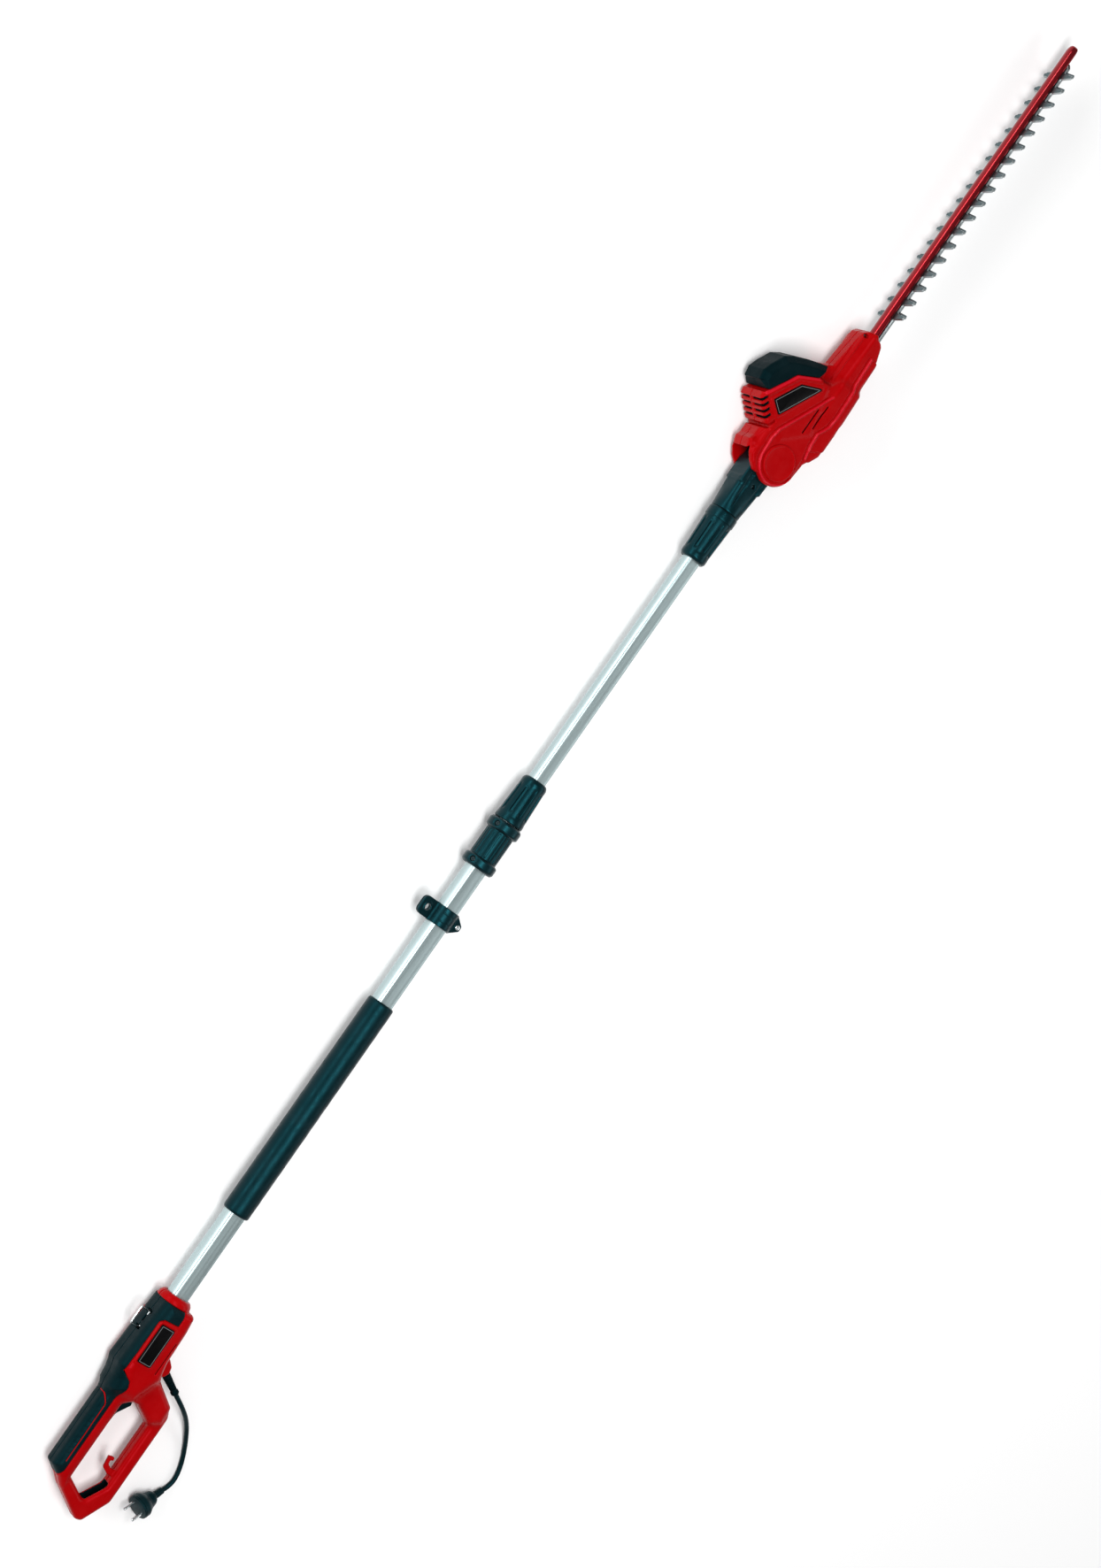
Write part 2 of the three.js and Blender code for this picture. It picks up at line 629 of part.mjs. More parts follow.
function yoke(group) {
  const bodyPoints = [];
  arc(0, 0, 22, 0, 350, 19).forEach(({ x, y }) => {
    bodyPoints.push(new THREE.Vector3(UNION_NUT.end + GAP, x, y));
  });
  const end = rounded([[21.6, 20, 9], [-21.6, 20, 9], [-21.6, -20, 9], [21.6, -20, 9]], 3);
  end.forEach(({ x, y }) => {
    bodyPoints.push(new THREE.Vector3(1388, x, y));
    bodyPoints.push(new THREE.Vector3(1400, x, y));
  });
  const tongue = plate(
    [
      new THREE.Vector2(1395, 21.6),
      new THREE.Vector2(1428, 21.6),
      ...arc(PIVOT.x, PIVOT.y, 26, 80, -100, 10),
      new THREE.Vector2(1426, -30),
      new THREE.Vector2(1395, -21.6),
    ],
    -YOKE_HALF_WIDTH,
    YOKE_HALF_WIDTH,
    { bevel: 2, steps: 1 },
  );
  const spigot = turnedX([[1289, 0], [1289, 17.4], [1350, 17.4], [1350, 0]], 24);
  const socket = alongX(doubleD(INNER_TUBE.radius + GAP, INNER_TUBE.flat + GAP), 1280,
    INNER_TUBE.end + GAP);
  const groove = (z0, z1) => plate(
    [[1354, 8], [1412, 6.5], [1412, 13], [1380, 11]].map(([x, y]) => new THREE.Vector2(x, y)),
    z0,
    z1,
  );
  const screwWay = join(rodZ(1398, -3, 2.9, 12, 30, 12), rodZ(1398, -3, 1.7, -6, 14, 8));
  const whole = cut(
    join(solid(new ConvexGeometry(bodyPoints)), tongue, spigot),
    socket,
    groove(18, 30),
    groove(-30, -18),
    screwWay,
    rodZ(PIVOT.x, PIVOT.y, 6.3, -30, 30, 20),
  );
  place(group, 'head_yoke', whole, BLACK);
  const screw = place(group, 'yoke_screw', screwSolid(2.6, 1.4, 2.4, 16), STEEL);
  screw.position.set(1398, -3, 12.3);
  screw.rotation.x = Math.PI;
}

// ---------------------------------------------------------------- head, about the pivot

const vectors = (list) => list.map(([x, y]) => new THREE.Vector2(x, y));

const MOTOR_SIDE = [[158.5, 17.1], [132.8, 24.2], [114.4, 57.2], [66, 84.8]];

function headForm(inset = 0) {
  const b = HEAD_HALF_WIDTH - inset;
  const gearCase = plate(
    [
      ...arc(0, 0, CHEEK_RADIUS - inset, 150, 270, 8),
      ...vectors([[22, -38.5 + inset], [32.3, -44.5 + inset], [46.6, -51.6 + inset],
        [83.6, -51.6 + inset], [134, -48.6 + inset], [150, -47.5 + inset], [150, -12],
        [118, 12], [60, 44 - inset], [20, 47 - inset], [-14, 46 - inset], [-24.2 + inset, 38],
        [-31.4 + inset, 26.2]]),
    ],
    -b,
    b,
    { bevel: 5 },
  );
  const hood = plate(
    vectors([[-24.2, 39.3], [-15, 50.4 - inset], [-6.7, 54.5 - inset], [1.5, 57.5 - inset],
      [9.7, 54.5 - inset], [42, 55 - inset], [60, 40], [40, 10], [-20, 10], [-31.4, 26.2]]),
    -26 + inset,
    26 - inset,
    { bevel: 6 },
  );
  const motorHousing = plate(
    vectors([[24, 20], [28, 52], [32.3 + inset, 59.5], [52.8 + inset, 86.8 - inset],
      [63, 88.8 - inset], [66, 84.8], [114.4, 57.2], [132.8, 24.2], [136, 0], [60, -20]]),
    -b,
    b,
    { bevel: 7 },
  );
  const noseSide = plate(
    rounded([[110, -50 + inset, 0], [199.6, -45.5 + inset, 5], [227.3, -34.4, 4],
      [239.7 - inset, -20.3, 4], [237 - inset, -8, 3], [229.4, -1.1 - inset, 3],
      [165.7, 7 - inset, 0], [158.5, 17.1, 0], [132.8, 24.2, 0], [100, 30, 0]], 2),
    -40,
    40,
  );
  const noseSection = alongX(
    vectors([[30, -13 + inset], [30, 13 - inset], [8, 13 - inset], [-17, 27 - inset],
      [-42, 26.5 - inset], [-52, 20 - inset], [-52, -20 + inset], [-42, -26.5 + inset],
      [-17, -27 + inset], [8, -13 + inset]]),
    90,
    260,
  );
  return join(gearCase, hood, motorHousing, noseSide.intersect(noseSection));
}

// The yoke's slot, open to the rear and downwards.
function yokeSlot() {
  return plate(
    rounded([[-80, 50.8, 0], [12, 50.8, 8], [28, 42, 8], [28, -22, 4], [16, -40, 0], [15, -80, 0],
      [-80, -80, 0]], 2),
    -YOKE_HALF_WIDTH - 0.6,
    YOKE_HALF_WIDTH + 0.6,
  );
}

// A solid given in the motor's own frame (Y along its shaft, origin at the pinion's tip).
function atMotor(piece) {
  return piece.rotate([0, 0, -THREE.MathUtils.radToDeg(MOTOR_LEAN)])
    .translate([MOTOR_FOOT.x, MOTOR_FOOT.y, 0]);
}

function headRoom() {
  const motorRoom = atMotor(join(rodY(0, 0, 27.5, 14, 120, 24), rodY(0, 0, 11, -3, 20, 16)));
  const gearRoom = box(40, 116, -43, -2, -27.6, 27.6);
  const bladeWay = box(110, 260, -38.9, -20.6, -13.2, 13.2);
  const noseRoom = box(112, 216, -22, 2, -9, 9);
  return join(motorRoom, gearRoom, bladeWay, noseRoom);
}

// Cooling slots that wrap from the rear edge of the motor housing onto its sides.
function louvres() {
  const slots = [];
  for (let k = 0; k < 4; k += 1) {
    const turn = -23;
    const slot = join(
      box(-1.7, 1.7, -26, 8, 19, 40),
      box(-1.7, 1.7, -26, 8, -40, -19),
      box(-1.7, 1.7, -5, 8, -40, 40),
    );
    slots.push(slot.rotate([0, 0, -turn]).translate([36 + 5.2 * k, 62 + 6.9 * k, 0]));
  }
  return slots;
}

const HEAD_LABEL = [[51, 47.2], [63.6, 68], [107, 44.2], [124, 8]];

function headShells(group) {
  const coverSeat = (z0, z1) => rodZ(0, 0, PIVOT_COVER_RADIUS + GAP, z0, z1, 32);
  const labelSeat = plate(rounded(HEAD_LABEL.map(([x, y]) => [x, y, 1]), 1), -40, 40);
  const boltWays = HEAD_SCREWS.map(([x, y]) => join(
    rodZ(x, y, 3.7, -60, -14.7, 12),
    rodZ(x, y, 1.8, -20, 6, 8),
  ));
  const noseWay = join(
    rodZ(NOSE_SCREW.x, NOSE_SCREW.y, 3, 8.7, 40, 12),
    rodZ(NOSE_SCREW.x, NOSE_SCREW.y, 1.7, -7.3, 12, 8),
  );
  const sideSlots = [1, -1].map((side) => join(
    box(55, 97, -4.4, -2.4, side > 0 ? 25 : -40, side > 0 ? 40 : -25),
    box(70, 110, -15, -13, side > 0 ? 25 : -40, side > 0 ? 40 : -25),
  ));
  const shell = cut(
    headForm(),
    motorCapForm(0, -GAP),
    yokeSlot(),
    headRoom(),
    coverSeat(HEAD_HALF_WIDTH - 0.3, 60),
    coverSeat(-60, 0.3 - HEAD_HALF_WIDTH),
    rodZ(0, 0, 6.3, -60, 60, 20),
    cut(labelSeat, box(-100, 200, -100, 200, 0.6 - HEAD_HALF_WIDTH, HEAD_HALF_WIDTH - 0.6)),
    ...louvres(),
    ...sideSlots,
    noseWay,
    ...boltWays,
  );
  place(group, 'head_shell_near', nearHalf(shell), RED);
  place(group, 'head_shell_far', cut(farHalf(shell), rodZ(0, 0, 9.8, -60, -26, 20)), RED);
}

const HEAD_SCREWS = [[152, -3], [128, -43.2]];
const NOSE_SCREW = { x: 227, y: -6.5 };

// The black motor cap's outer form, shrunk by inset, with its lower edge raised by lift.
function motorCapForm(inset, lift) {
  const lower = MOTOR_SIDE.map(([x, y]) => [x + 0.5 * lift, y + 0.87 * lift]);
  const upper = [[72.9, 101 - inset], [88.5, HEAD_TOP - inset], [102, 99 - inset],
    [123.7 - inset, 87.8 - inset], [132.9 - inset, 74.7], [144.2 - inset, 50.4],
    [150.4 - inset, 34.3]];
  return plate(vectors([...lower, ...upper]), -30 + inset, 30 - inset, { bevel: 6 });
}

function motorCap(group) {
  const room = atMotor(rodY(0, 0, 26.5, 14, 140, 24)).intersect(motorCapForm(2.6, -3));
  place(group, 'motor_cap', mainBody(cut(motorCapForm(0, 0), room)), BLACK);
}

function headTrim(group) {
  const disc = (z0, z1) => rodZ(0, 0, PIVOT_COVER_RADIUS, z0, z1, 32);
  place(group, 'pivot_cover_near', disc(HEAD_HALF_WIDTH, REST_HALF_WIDTH), RED);
  const ring = cut(disc(-REST_HALF_WIDTH, -HEAD_HALF_WIDTH), rodZ(0, 0, 9.8, -60, 0, 20));
  place(group, 'pivot_cover_far', ring, RED);
  place(group, 'tilt_lock_button', rodZ(0, 0, 9.4, -33.6, -30.2, 20), BLACK);
  const label = rounded(HEAD_LABEL.map(([x, y]) => [x, y, 1]), 1)
    .map((point) => point.sub(new THREE.Vector2(86.5, 41.5)).multiplyScalar(0.985)
      .add(new THREE.Vector2(86.5, 41.5)));
  place(group, 'head_label_near', plate(label, 30.7, 31.8), LABEL_BLACK);
  place(group, 'head_label_far', plate(label, -31.8, -30.7), LABEL_BLACK);
  HEAD_SCREWS.forEach(([x, y], i) => {
    const screw = place(group, `head_screw_${i + 1}`, screwSolid(3.3, 1.5, 2.5, 20), STEEL);
    screw.position.set(x, y, -15);
  });
  const nose = place(group, 'nose_screw', screwSolid(2.7, 1.4, 2.3, 15), STEEL);
  nose.position.set(NOSE_SCREW.x, NOSE_SCREW.y, 9);
  nose.rotation.x = Math.PI;
}

function motor(group) {
  const stator = cut(
    rodY(0, 0, 26, 36, 88, 24),
    rodY(0, 0, 17, 30, 95, 20),
  );
  place(group, 'motor_stator', atMotor(stator), STEEL);
  const rotor = turnedY([[1, 0], [1, 3.2], [14, 3.2], [38, 4], [38, 16], [86, 16], [86, 9],
    [98, 9], [98, 4], [106, 4], [106, 0]], 20);
  place(group, 'motor_rotor', atMotor(cut(rotor, rodY(0, 0, 4.3, 0, 33.5, 16)).add(
    rodY(0, 0, 3.2, 1, 40, 12),
  )), COPPER);
  const hub = cut(
    join(
      turnedY([[24, 0], [24, 22], [26, 22], [27, 8], [33, 8], [33, 0]], 20),
      ...Array.from({ length: 6 }, (_, k) => box(6, 21.5, 25, 33, -0.8, 0.8)
        .rotate([0, 60 * k, 0])),
    ),
    rodY(0, 0, 3.5, 0, 60, 12),
  );
  place(group, 'motor_fan', atMotor(hub), BLACK);
  const teeth = Array.from({ length: 8 }, (_, k) => box(4, 8.4, 3.2, 13, -1, 1)
    .rotate([0, 45 * k, 0]));
  const pinion = cut(
    join(turnedY([[3, 0], [3, 5.4], [13, 7], [13, 0]], 16), ...teeth),
    rodY(0, 0, 3.5, 0, 60, 12),
  );
  place(group, 'motor_pinion', atMotor(pinion), STEEL);
}

// The bevel gear with its two opposed eccentrics, turned to the blades' rest position.
function driveGear(group) {
  const gear = turnedY([[-25.5, 0], [-25.5, 27], [-22.5, 27], [-21, 22], [-21, 7], [-14, 7],
    [-14, 0]], 24);
  const turn = Math.asin(BLADE_LEAD / CRANK);
  const eccentric = (side, y0, y1) => rodY(
    -side * CRANK * Math.sin(turn),
    side * CRANK * Math.cos(turn),
    10,
    y0,
    y1,
    20,
  );
  const middle = (UPPER_BLADE.bottom + LOWER_BLADE.top) / 2;
  const whole = join(
    gear,
    rodY(0, 0, 9, -31.6, -25, 20),
    eccentric(1, middle, UPPER_BLADE.top + 0.4),
    eccentric(-1, LOWER_BLADE.bottom - 0.4, middle),
    rodY(0, 0, 3.5, -41, -37, 12),
  );
  place(group, 'drive_gear', whole, STEEL).position.set(GEAR_X, 0, 0);
  const web = cut(box(42, 114, -29.8, -27.6, -26, 26), rodY(GEAR_X, 0, 11, -40, 0, 24));
  place(group, 'gearbox_plate', web, BRIGHT_STEEL);
}

function bladeOutline(shift) {
  const near = [];
  const { first, pitch, count, reach, base, tip } = TOOTH;
  for (let k = 0; k < count; k += 1) {
    const x = first + k * pitch + shift;
    near.push([x - base, BLADE_BACK], [x - tip, reach], [x + tip, reach], [x + base, BLADE_BACK]);
  }
  const tail = first + (count - 1) * pitch + base + 14 + shift;
  const head = [[GEAR_X - 20 + shift, 24.5], [GEAR_X + 20 + shift, 24.5],
    [GEAR_X + 32 + shift, BLADE_BACK]];
  const half = [...head, ...near, [tail - 6, BLADE_BACK], [tail, BLADE_BACK - 6]];
  const mirrored = half.map(([x, z]) => [x, -z]).reverse();
  return vectors([...half, ...mirrored]);
}

// A blade lies in XZ; its outline is drawn in XY and turned down onto the blade plane.
function blade(shift, { top, bottom }) {
  const slots = BLADE_SCREWS.map((x) => rounded(
    [[x - 11, -2.9, 2.8], [x + 11, -2.9, 2.8], [x + 11, 2.9, 2.8], [x - 11, 2.9, 2.8]],
    1,
  ));
  const [left, right] = [GEAR_X + shift - BLADE_SLOT, GEAR_X + shift + BLADE_SLOT];
  slots.push(rounded([[left, -16.8, 5], [right, -16.8, 5], [right, 16.8, 5], [left, 16.8, 5]]));
  const flat = plate(bladeOutline(shift), 0, top - bottom, { holes: slots });
  return flat.rotate([90, 0, 0]).translate([0, top, 0]);
}

function blades(group) {
  place(group, 'upper_blade', blade(-BLADE_LEAD, UPPER_BLADE), STEEL);
  place(group, 'lower_blade', blade(BLADE_LEAD, LOWER_BLADE), STEEL);
}

function bladeBar(group) {
  const { start, end, halfWidth, bottom, top } = BAR;
  const crown = [];
  for (let k = 0; k <= 8; k += 1) {
    const angle = (Math.PI * k) / 8;
    crown.push(new THREE.Vector2(
      bottom + 1.5 + (top - bottom - 1.5) * Math.sin(angle),
      halfWidth * Math.cos(angle),
    ));
  }
  crown.push(new THREE.Vector2(bottom, -halfWidth), new THREE.Vector2(bottom, halfWidth));
  const bar = alongX(crown, start, end);
  const tipForm = plate(
    rounded([[start - 5, -20, 0], [end, -20, 9.5], [end, 20, 9.5], [start - 5, 20, 0]], 4),
    0,
    30,
  ).rotate([90, 0, 0]).translate([0, -5, 0]);
  const holes = BLADE_SCREWS.map((x) => rodY(x, 0, 2.1, bottom - 1, bottom + 7.3, 8));
  place(group, 'blade_bar', cut(bar.intersect(tipForm), ...holes), RED_PAINT);
  BLADE_SCREWS.forEach((x, i) => {
    const screw = place(group, `blade_screw_${i + 1}`, screwSolid(5.5, 1.9, 2.6, 13), BRIGHT_STEEL);
    screw.position.set(x, LOWER_BLADE.bottom - GAP, 0);
    screw.rotation.x = -Math.PI / 2;
  });
}

// ---------------------------------------------------------------- assembly

function assemble() {
  const trimmer = new THREE.Group();
  handleShells(trimmer);
  handleParts(trimmer);
  cordParts(trimmer);
  poleParts(trimmer);
  strapClamp(trimmer);
  collar(trimmer);
  collarNut(trimmer);
  innerTube(trimmer);
  unionNut(trimmer);
  yoke(trimmer);
  const pivotPin = rodZ(PIVOT.x, PIVOT.y, 6, -27, 30.4, 20);
  place(trimmer, 'pivot_pin', pivotPin, BRIGHT_STEEL);
  const head = new THREE.Group();
  head.position.set(PIVOT.x, PIVOT.y, 0);
  headShells(head);
  motorCap(head);
  headTrim(head);
  motor(head);
  driveGear(head);
  blades(head);
  bladeBar(head);
  trimmer.add(head);
  const rear = HANDLE_REAR;
  const tip = PIVOT.x + BAR.end;
  const top = PIVOT.y + HEAD_TOP;
  trimmer.position.set(-(rear + tip) / 2, -(HANDLE_BOTTOM + top) / 2, REST_HALF_WIDTH);
  const part = new THREE.Group();
  part.add(trimmer);
  part.updateMatrixWorld(true);
  return part;
}

export default assemble();
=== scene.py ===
import json
from functools import partial, reduce
from math import acos, atan2, ceil, copysign, cos, pi, radians, sin, tan
import bmesh
import bpy
import numpy as np
from mathutils import Matrix, Vector
from mathutils.geometry import tessellate_polygon


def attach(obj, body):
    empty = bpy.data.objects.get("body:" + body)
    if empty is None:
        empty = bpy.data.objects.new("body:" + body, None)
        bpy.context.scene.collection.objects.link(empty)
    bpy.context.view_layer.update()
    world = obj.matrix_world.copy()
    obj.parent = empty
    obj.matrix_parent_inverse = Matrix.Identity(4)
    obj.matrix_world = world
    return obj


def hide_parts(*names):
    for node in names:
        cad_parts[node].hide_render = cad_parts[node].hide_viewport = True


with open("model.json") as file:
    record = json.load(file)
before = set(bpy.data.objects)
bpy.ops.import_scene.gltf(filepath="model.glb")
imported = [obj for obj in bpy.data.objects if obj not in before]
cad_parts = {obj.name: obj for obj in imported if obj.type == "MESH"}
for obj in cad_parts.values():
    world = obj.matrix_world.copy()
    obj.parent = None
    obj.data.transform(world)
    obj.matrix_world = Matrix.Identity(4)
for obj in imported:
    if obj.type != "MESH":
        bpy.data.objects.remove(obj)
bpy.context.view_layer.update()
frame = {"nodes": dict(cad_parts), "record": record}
NODES = frame["nodes"]
MM = 0.001
COARSE = 1

# Two working frames, in millimetres. POLE has its X axis on the pole's middle line and X = 0 at
# the handle's front rim. HEAD has its origin on the head's tilt pivot.
POLE = Vector((-0.93725, 0.0015, 0.034))
HEAD = Vector((0.50875, -0.0065, 0.034))
SEAM = 0.15                                # how far a moulded half stays off the middle plane
SIDES = ((1, "near"), (-1, "far"))         # the direction of Z and the word for each half
FLOOR = -34                                # the floor's height in both frames


# --- camera, floor and lights

ROLL, TILT, RISE = radians(33), radians(4.6), radians(55.1)    # round the pole, off its side, up the view
CAMERA_DISTANCE, LENS = 4.5, 73
LOOK_AT = (0.886, 0.0184)                  # metres along the pole from its frame, and below it in the picture
LIGHTS = [                                 # name, place, aim, size, power
    ("key", (-0.6, 1.1, 4.1), (0, 0, 0), (3, 1.1), 142),
    ("back", (0.1, 3.2, 1.15), (0, 0, 0.1), (5, 0.7), 84),
    ("fill", (0.8, -2.9, 2.2), (0, 0, 0), (3.6, 0.9), 28),
]


def unit(v):
    return v / np.linalg.norm(v)


def new_object(name, data):
    obj = bpy.data.objects.new(name, data)
    bpy.context.scene.collection.objects.link(obj)
    return obj


def fill(tree, node, values):
    """Sets or links the inputs of a shader node."""
    for socket, value in values.items():
        if isinstance(value, bpy.types.NodeSocket):
            tree.links.new(value, node.inputs[socket])
        else:
            node.inputs[socket].default_value = value


def make_camera():
    to_camera = Vector((-sin(TILT), cos(TILT) * sin(ROLL), cos(TILT) * cos(ROLL)))
    along = Vector((1, 0, 0))
    along = (along - to_camera * along.dot(to_camera)).normalized()
    across = to_camera.cross(along)
    right = along * cos(RISE) - across * sin(RISE)
    up = along * sin(RISE) + across * cos(RISE)
    middle = POLE + Vector((LOOK_AT[0], 0, 0)) - across * LOOK_AT[1]
    data = bpy.data.cameras.new("camera")
    data.lens, data.sensor_width, data.clip_end = LENS, 36, 100
    camera = new_object("camera", data)
    camera.matrix_world = Matrix.Translation(middle + to_camera * CAMERA_DISTANCE) @ Matrix(
        (right, up, to_camera)).transposed().to_4x4()
    bpy.context.scene.camera = camera


def make_studio():
    world = bpy.data.worlds.new("studio")
    bpy.context.scene.world = world
    world.use_nodes = True
    fill(world.node_tree, world.node_tree.nodes["Background"], {"Color": (1, 1, 1, 1), "Strength": 0.32})
    bpy.context.scene.view_settings.view_transform = "Standard"
    mesh = bpy.data.meshes.new("floor")
    mesh.from_pydata([(-30, -30, 0), (30, -30, 0), (30, 30, 0), (-30, 30, 0)], [], [(0, 1, 2, 3)])
    floor = new_object("floor", mesh)
    floor.location.z = -0.0004
    paper = bpy.data.materials.new("floor")
    paper.use_nodes = True
    fill(paper.node_tree, paper.node_tree.nodes["Principled BSDF"],
         {"Base Color": (0.95, 0.95, 0.95, 1), "Roughness": 0.9})
    mesh.materials.append(paper)
    for name, place, aim, size, power in LIGHTS:
        data = bpy.data.lights.new(name, "AREA")
        data.shape, data.energy = "RECTANGLE", power
        data.size, data.size_y = size
        light = new_object(name, data)
        light.location = place
        light.rotation_euler = (Vector(aim) - Vector(place)).to_track_quat("-Z", "Y").to_euler()


make_camera()
make_studio()


# --- materials

def material(name, color, roughness, grain=0, grain_size=0.6, mottle=0.06, shine=0.5, wear=None, metallic=0,
             tint=(1, 1, 1), brushed=False, scratches=0, coat=0):
    """A surface whose colour and gloss vary, with grain in its relief."""
    made = bpy.data.materials.new(name)
    made.use_nodes = True
    tree = made.node_tree

    def node(kind, output, values, **settings):
        added = tree.nodes.new("ShaderNode" + kind)
        for key, value in settings.items():
            setattr(added, key, value)
        fill(tree, added, values)
        return added.outputs[output]

    def noise(scale, detail=4, stretch=None, rough=0.6):
        source = node("Mapping", "Vector", {"Scale": stretch, "Vector": place}) if stretch else place
        return node("TexNoise", "Fac", {"Scale": scale, "Detail": detail, "Roughness": rough, "Vector": source})

    def ramp(source, low, high, a, b):
        return node("MapRange", "Result",
                    {"Value": source, "From Min": low, "From Max": high, "To Min": a, "To Max": b})

    def mix(factor, a, b):
        return node("Mix", "Result", {"Factor": factor, "A": a, "B": b}, data_type="RGBA")

    def drawn(across):
        """Stretches a pattern along X on a brushed surface."""
        return (across, 1, 1) if brushed else None
    place = node("TexCoord", "Object", {})
    darker = (*(c * (1 - mottle) for c in color), 1)
    lighter = (*(min(1, c * (1 + mottle) + 0.002) for c in color), 1)
    shade = mix(ramp(noise(38, stretch=drawn(0.04)), 0.3, 0.7, 0, 1), darker, lighter)
    if wear:
        edge = node("NewGeometry", "Pointiness", {})
        worn = node("Math", "Value", {0: ramp(edge, 0.53, 0.62, 0, 0.55),
            1: ramp(noise(220), 0.42, 0.62, 0, 1)}, operation="MULTIPLY")
        shade = mix(worn, shade, (*wear, 1))
    gloss = noise(160 if brushed else 90, stretch=drawn(0.02))
    values = {"Base Color": shade, "Metallic": metallic, "Specular IOR Level": shine,
              "Roughness": ramp(gloss, 0.3, 0.7, roughness * 0.8, min(1, roughness * 1.2)),
              "Specular Tint": (*tint, 1), "Coat Weight": coat, "Coat Roughness": 0.12}
    if grain > 0:
        relief = noise(1000 / grain_size, 3, drawn(0.03))
        if scratches > 0:
            fine = noise(260, 6, (0.06, 1, 0.4), 0.8)
            relief = node("Math", "Value", {0: relief, 1: ramp(fine, 0.62, 0.72, 0, scratches)},
                operation="ADD")
        values["Normal"] = node("Bump", "Normal", {"Strength": grain, "Distance": 0.0002, "Height": relief})
    fill(tree, tree.nodes["Principled BSDF"], values)
    return made


TEAL = (0.1, 0.8, 1)                       # the cool sheen of the dark plastics
dark, metal = partial(material, tint=TEAL), partial(material, metallic=1)
# name, colour, roughness, grain, its size in mm, mottling, shine, colour of worn edges
# A lighter, pinker red painted on the tops of the head's raised lines and the band along the cap as a painted
# highlight; it is also glossier than the moulding.
RIDGE_HIGHLIGHT = material("ridge_painted_highlight", (0.46, 0.003, 0.011), 0.26, 0.08, 0.9, 0.06, 0.4, tint=(1, 0.25, 0.36))
RED = material("red_moulding", (0.32, 0.0002, 0.0008), 0.3, 0.1, 0.9, 0.04, 0.17, (0.5, 0.006, 0.008),
               tint=(1, 0.1, 0.16))
# Black moulding; it is also painted into the handle's pocket, the strap ring's groove and the louvre slots as
# painted shade.
BLACK_AND_PAINTED_SHADE = dark("black_moulding", (0.0007, 0.0052, 0.0066), 0.5, 0.2, 0.8, 0.16, 0.06, (0.008, 0.022, 0.026))
FITTING = dark("smooth_black_moulding", (0.0008, 0.0052, 0.0066), 0.33, 0.12, 0.8, 0.16, 0.3,
               (0.012, 0.026, 0.03))
BLACKENED = metal("blackened_steel", (0.02, 0.032, 0.036), 0.4, 0.1, mottle=0.1)
LABEL = material("label_film", (0.0014, 0.0014, 0.0016), 0.3, 0.04, mottle=0.1, shine=0.05)
OUTLINE = material("label_outline", (0.13, 0.135, 0.14), 0.4, 0.05)
STEEL = metal("ground_steel", (0.11, 0.16, 0.17), 0.38, 0.2, 0.5, 0.12, scratches=0.5)
EDGE = metal("cutting_edge", (0.42, 0.47, 0.48), 0.3, 0.25, 0.3, 0.05, scratches=0.4)
BRIGHT = metal("plated_steel", (0.66, 0.7, 0.71), 0.18, 0.05, mottle=0.04)
CORD = dark("lead_sheath", (0.0009, 0.005, 0.0062), 0.42, 0.25, 0.9, 0.12, 0.22)
SLOT_FINISH = {
    "red_shell": RED, "black_plastic": BLACK_AND_PAINTED_SHADE, "label_black": LABEL, "cutter_steel": STEEL,
    "bright_steel": BRIGHT,
    "soft_black": dark("soft_overmould", (0.0008, 0.0058, 0.0072), 0.46, 0.35, 0.7, 0.14, 0.11,
                       (0.008, 0.022, 0.026)),
    "foam_black": dark("foam", (0.0006, 0.0042, 0.0056), 0.42, 0.25, 1.1, 0.2, 0.26),
    "tube_aluminium": metal("drawn_aluminium", (0.44, 0.54, 0.55), 0.4, 0.12, 0.5, 0.05, brushed=True),
    "copper_winding": metal("winding", (0.5, 0.22, 0.1), 0.35, 0.6, 0.8, 0.2),
    "red_bar": metal("red_anodised_bar", (0.27, 0.0003, 0.006), 0.25, 0.06, brushed=True, coat=0.45),
}
NODE_SLOT = {s["node"]: s["material_slot"] for s in frame["record"]["subparts"]}
BODY_OF = {n: b for b, names in frame["record"]["behaviour"]["bodies"].items() for n in names}
for name, node in NODES.items():
    node.data.materials.clear()
    node.data.materials.append(SLOT_FINISH[NODE_SLOT[name]])


# --- making and placing pieces

def keep(obj, node, finish=None):
    """obj stands for a CAD node, moves with its body and takes its finish."""
    if not obj.data.materials:
        obj.data.materials.append(finish or SLOT_FINISH[NODE_SLOT[node]])
    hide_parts(node)
    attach(obj, BODY_OF[node])
    return obj


def mesh_piece(name, points, faces, origin, turn=None, finishes=(), marks=None):
    """points in millimetres in a working frame, whose origin is given in metres."""
    mesh = bpy.data.meshes.new(name)
    mesh.from_pydata((np.asarray(points, float) * MM).tolist(), [], faces)
    mesh.transform(Matrix.Translation(origin) @ (turn or Matrix()))
    for finish in finishes:
        mesh.materials.append(finish)
    if marks is not None:
        mesh.polygons.foreach_set("material_index", marks)
    mesh.validate()
    made = bmesh.new()
    made.from_mesh(mesh)
    bmesh.ops.recalc_face_normals(made, faces=made.faces)
    made.to_mesh(mesh)
    made.free()
    mesh.shade_smooth()
    return new_object(name, mesh)


def loft(rings, first=0, caps=True):
    """A body through rings of points. Without caps the last ring meets the first."""
    n, faces = len(rings[0]), []
    order = [*range(len(rings)), *([] if caps else [0])]
    for p, q in zip(order, order[1:]):
        p, q = first + p * n, first + q * n
        faces += [(p + k, p + (k + 1) % n, q + (k + 1) % n, q + k) for k in range(n)]
    if caps:
        faces += [tuple(first + k for k in range(n)), tuple(first + (len(rings) - 1) * n + k for k in range(n))]
    return [p for ring in rings for p in ring], faces


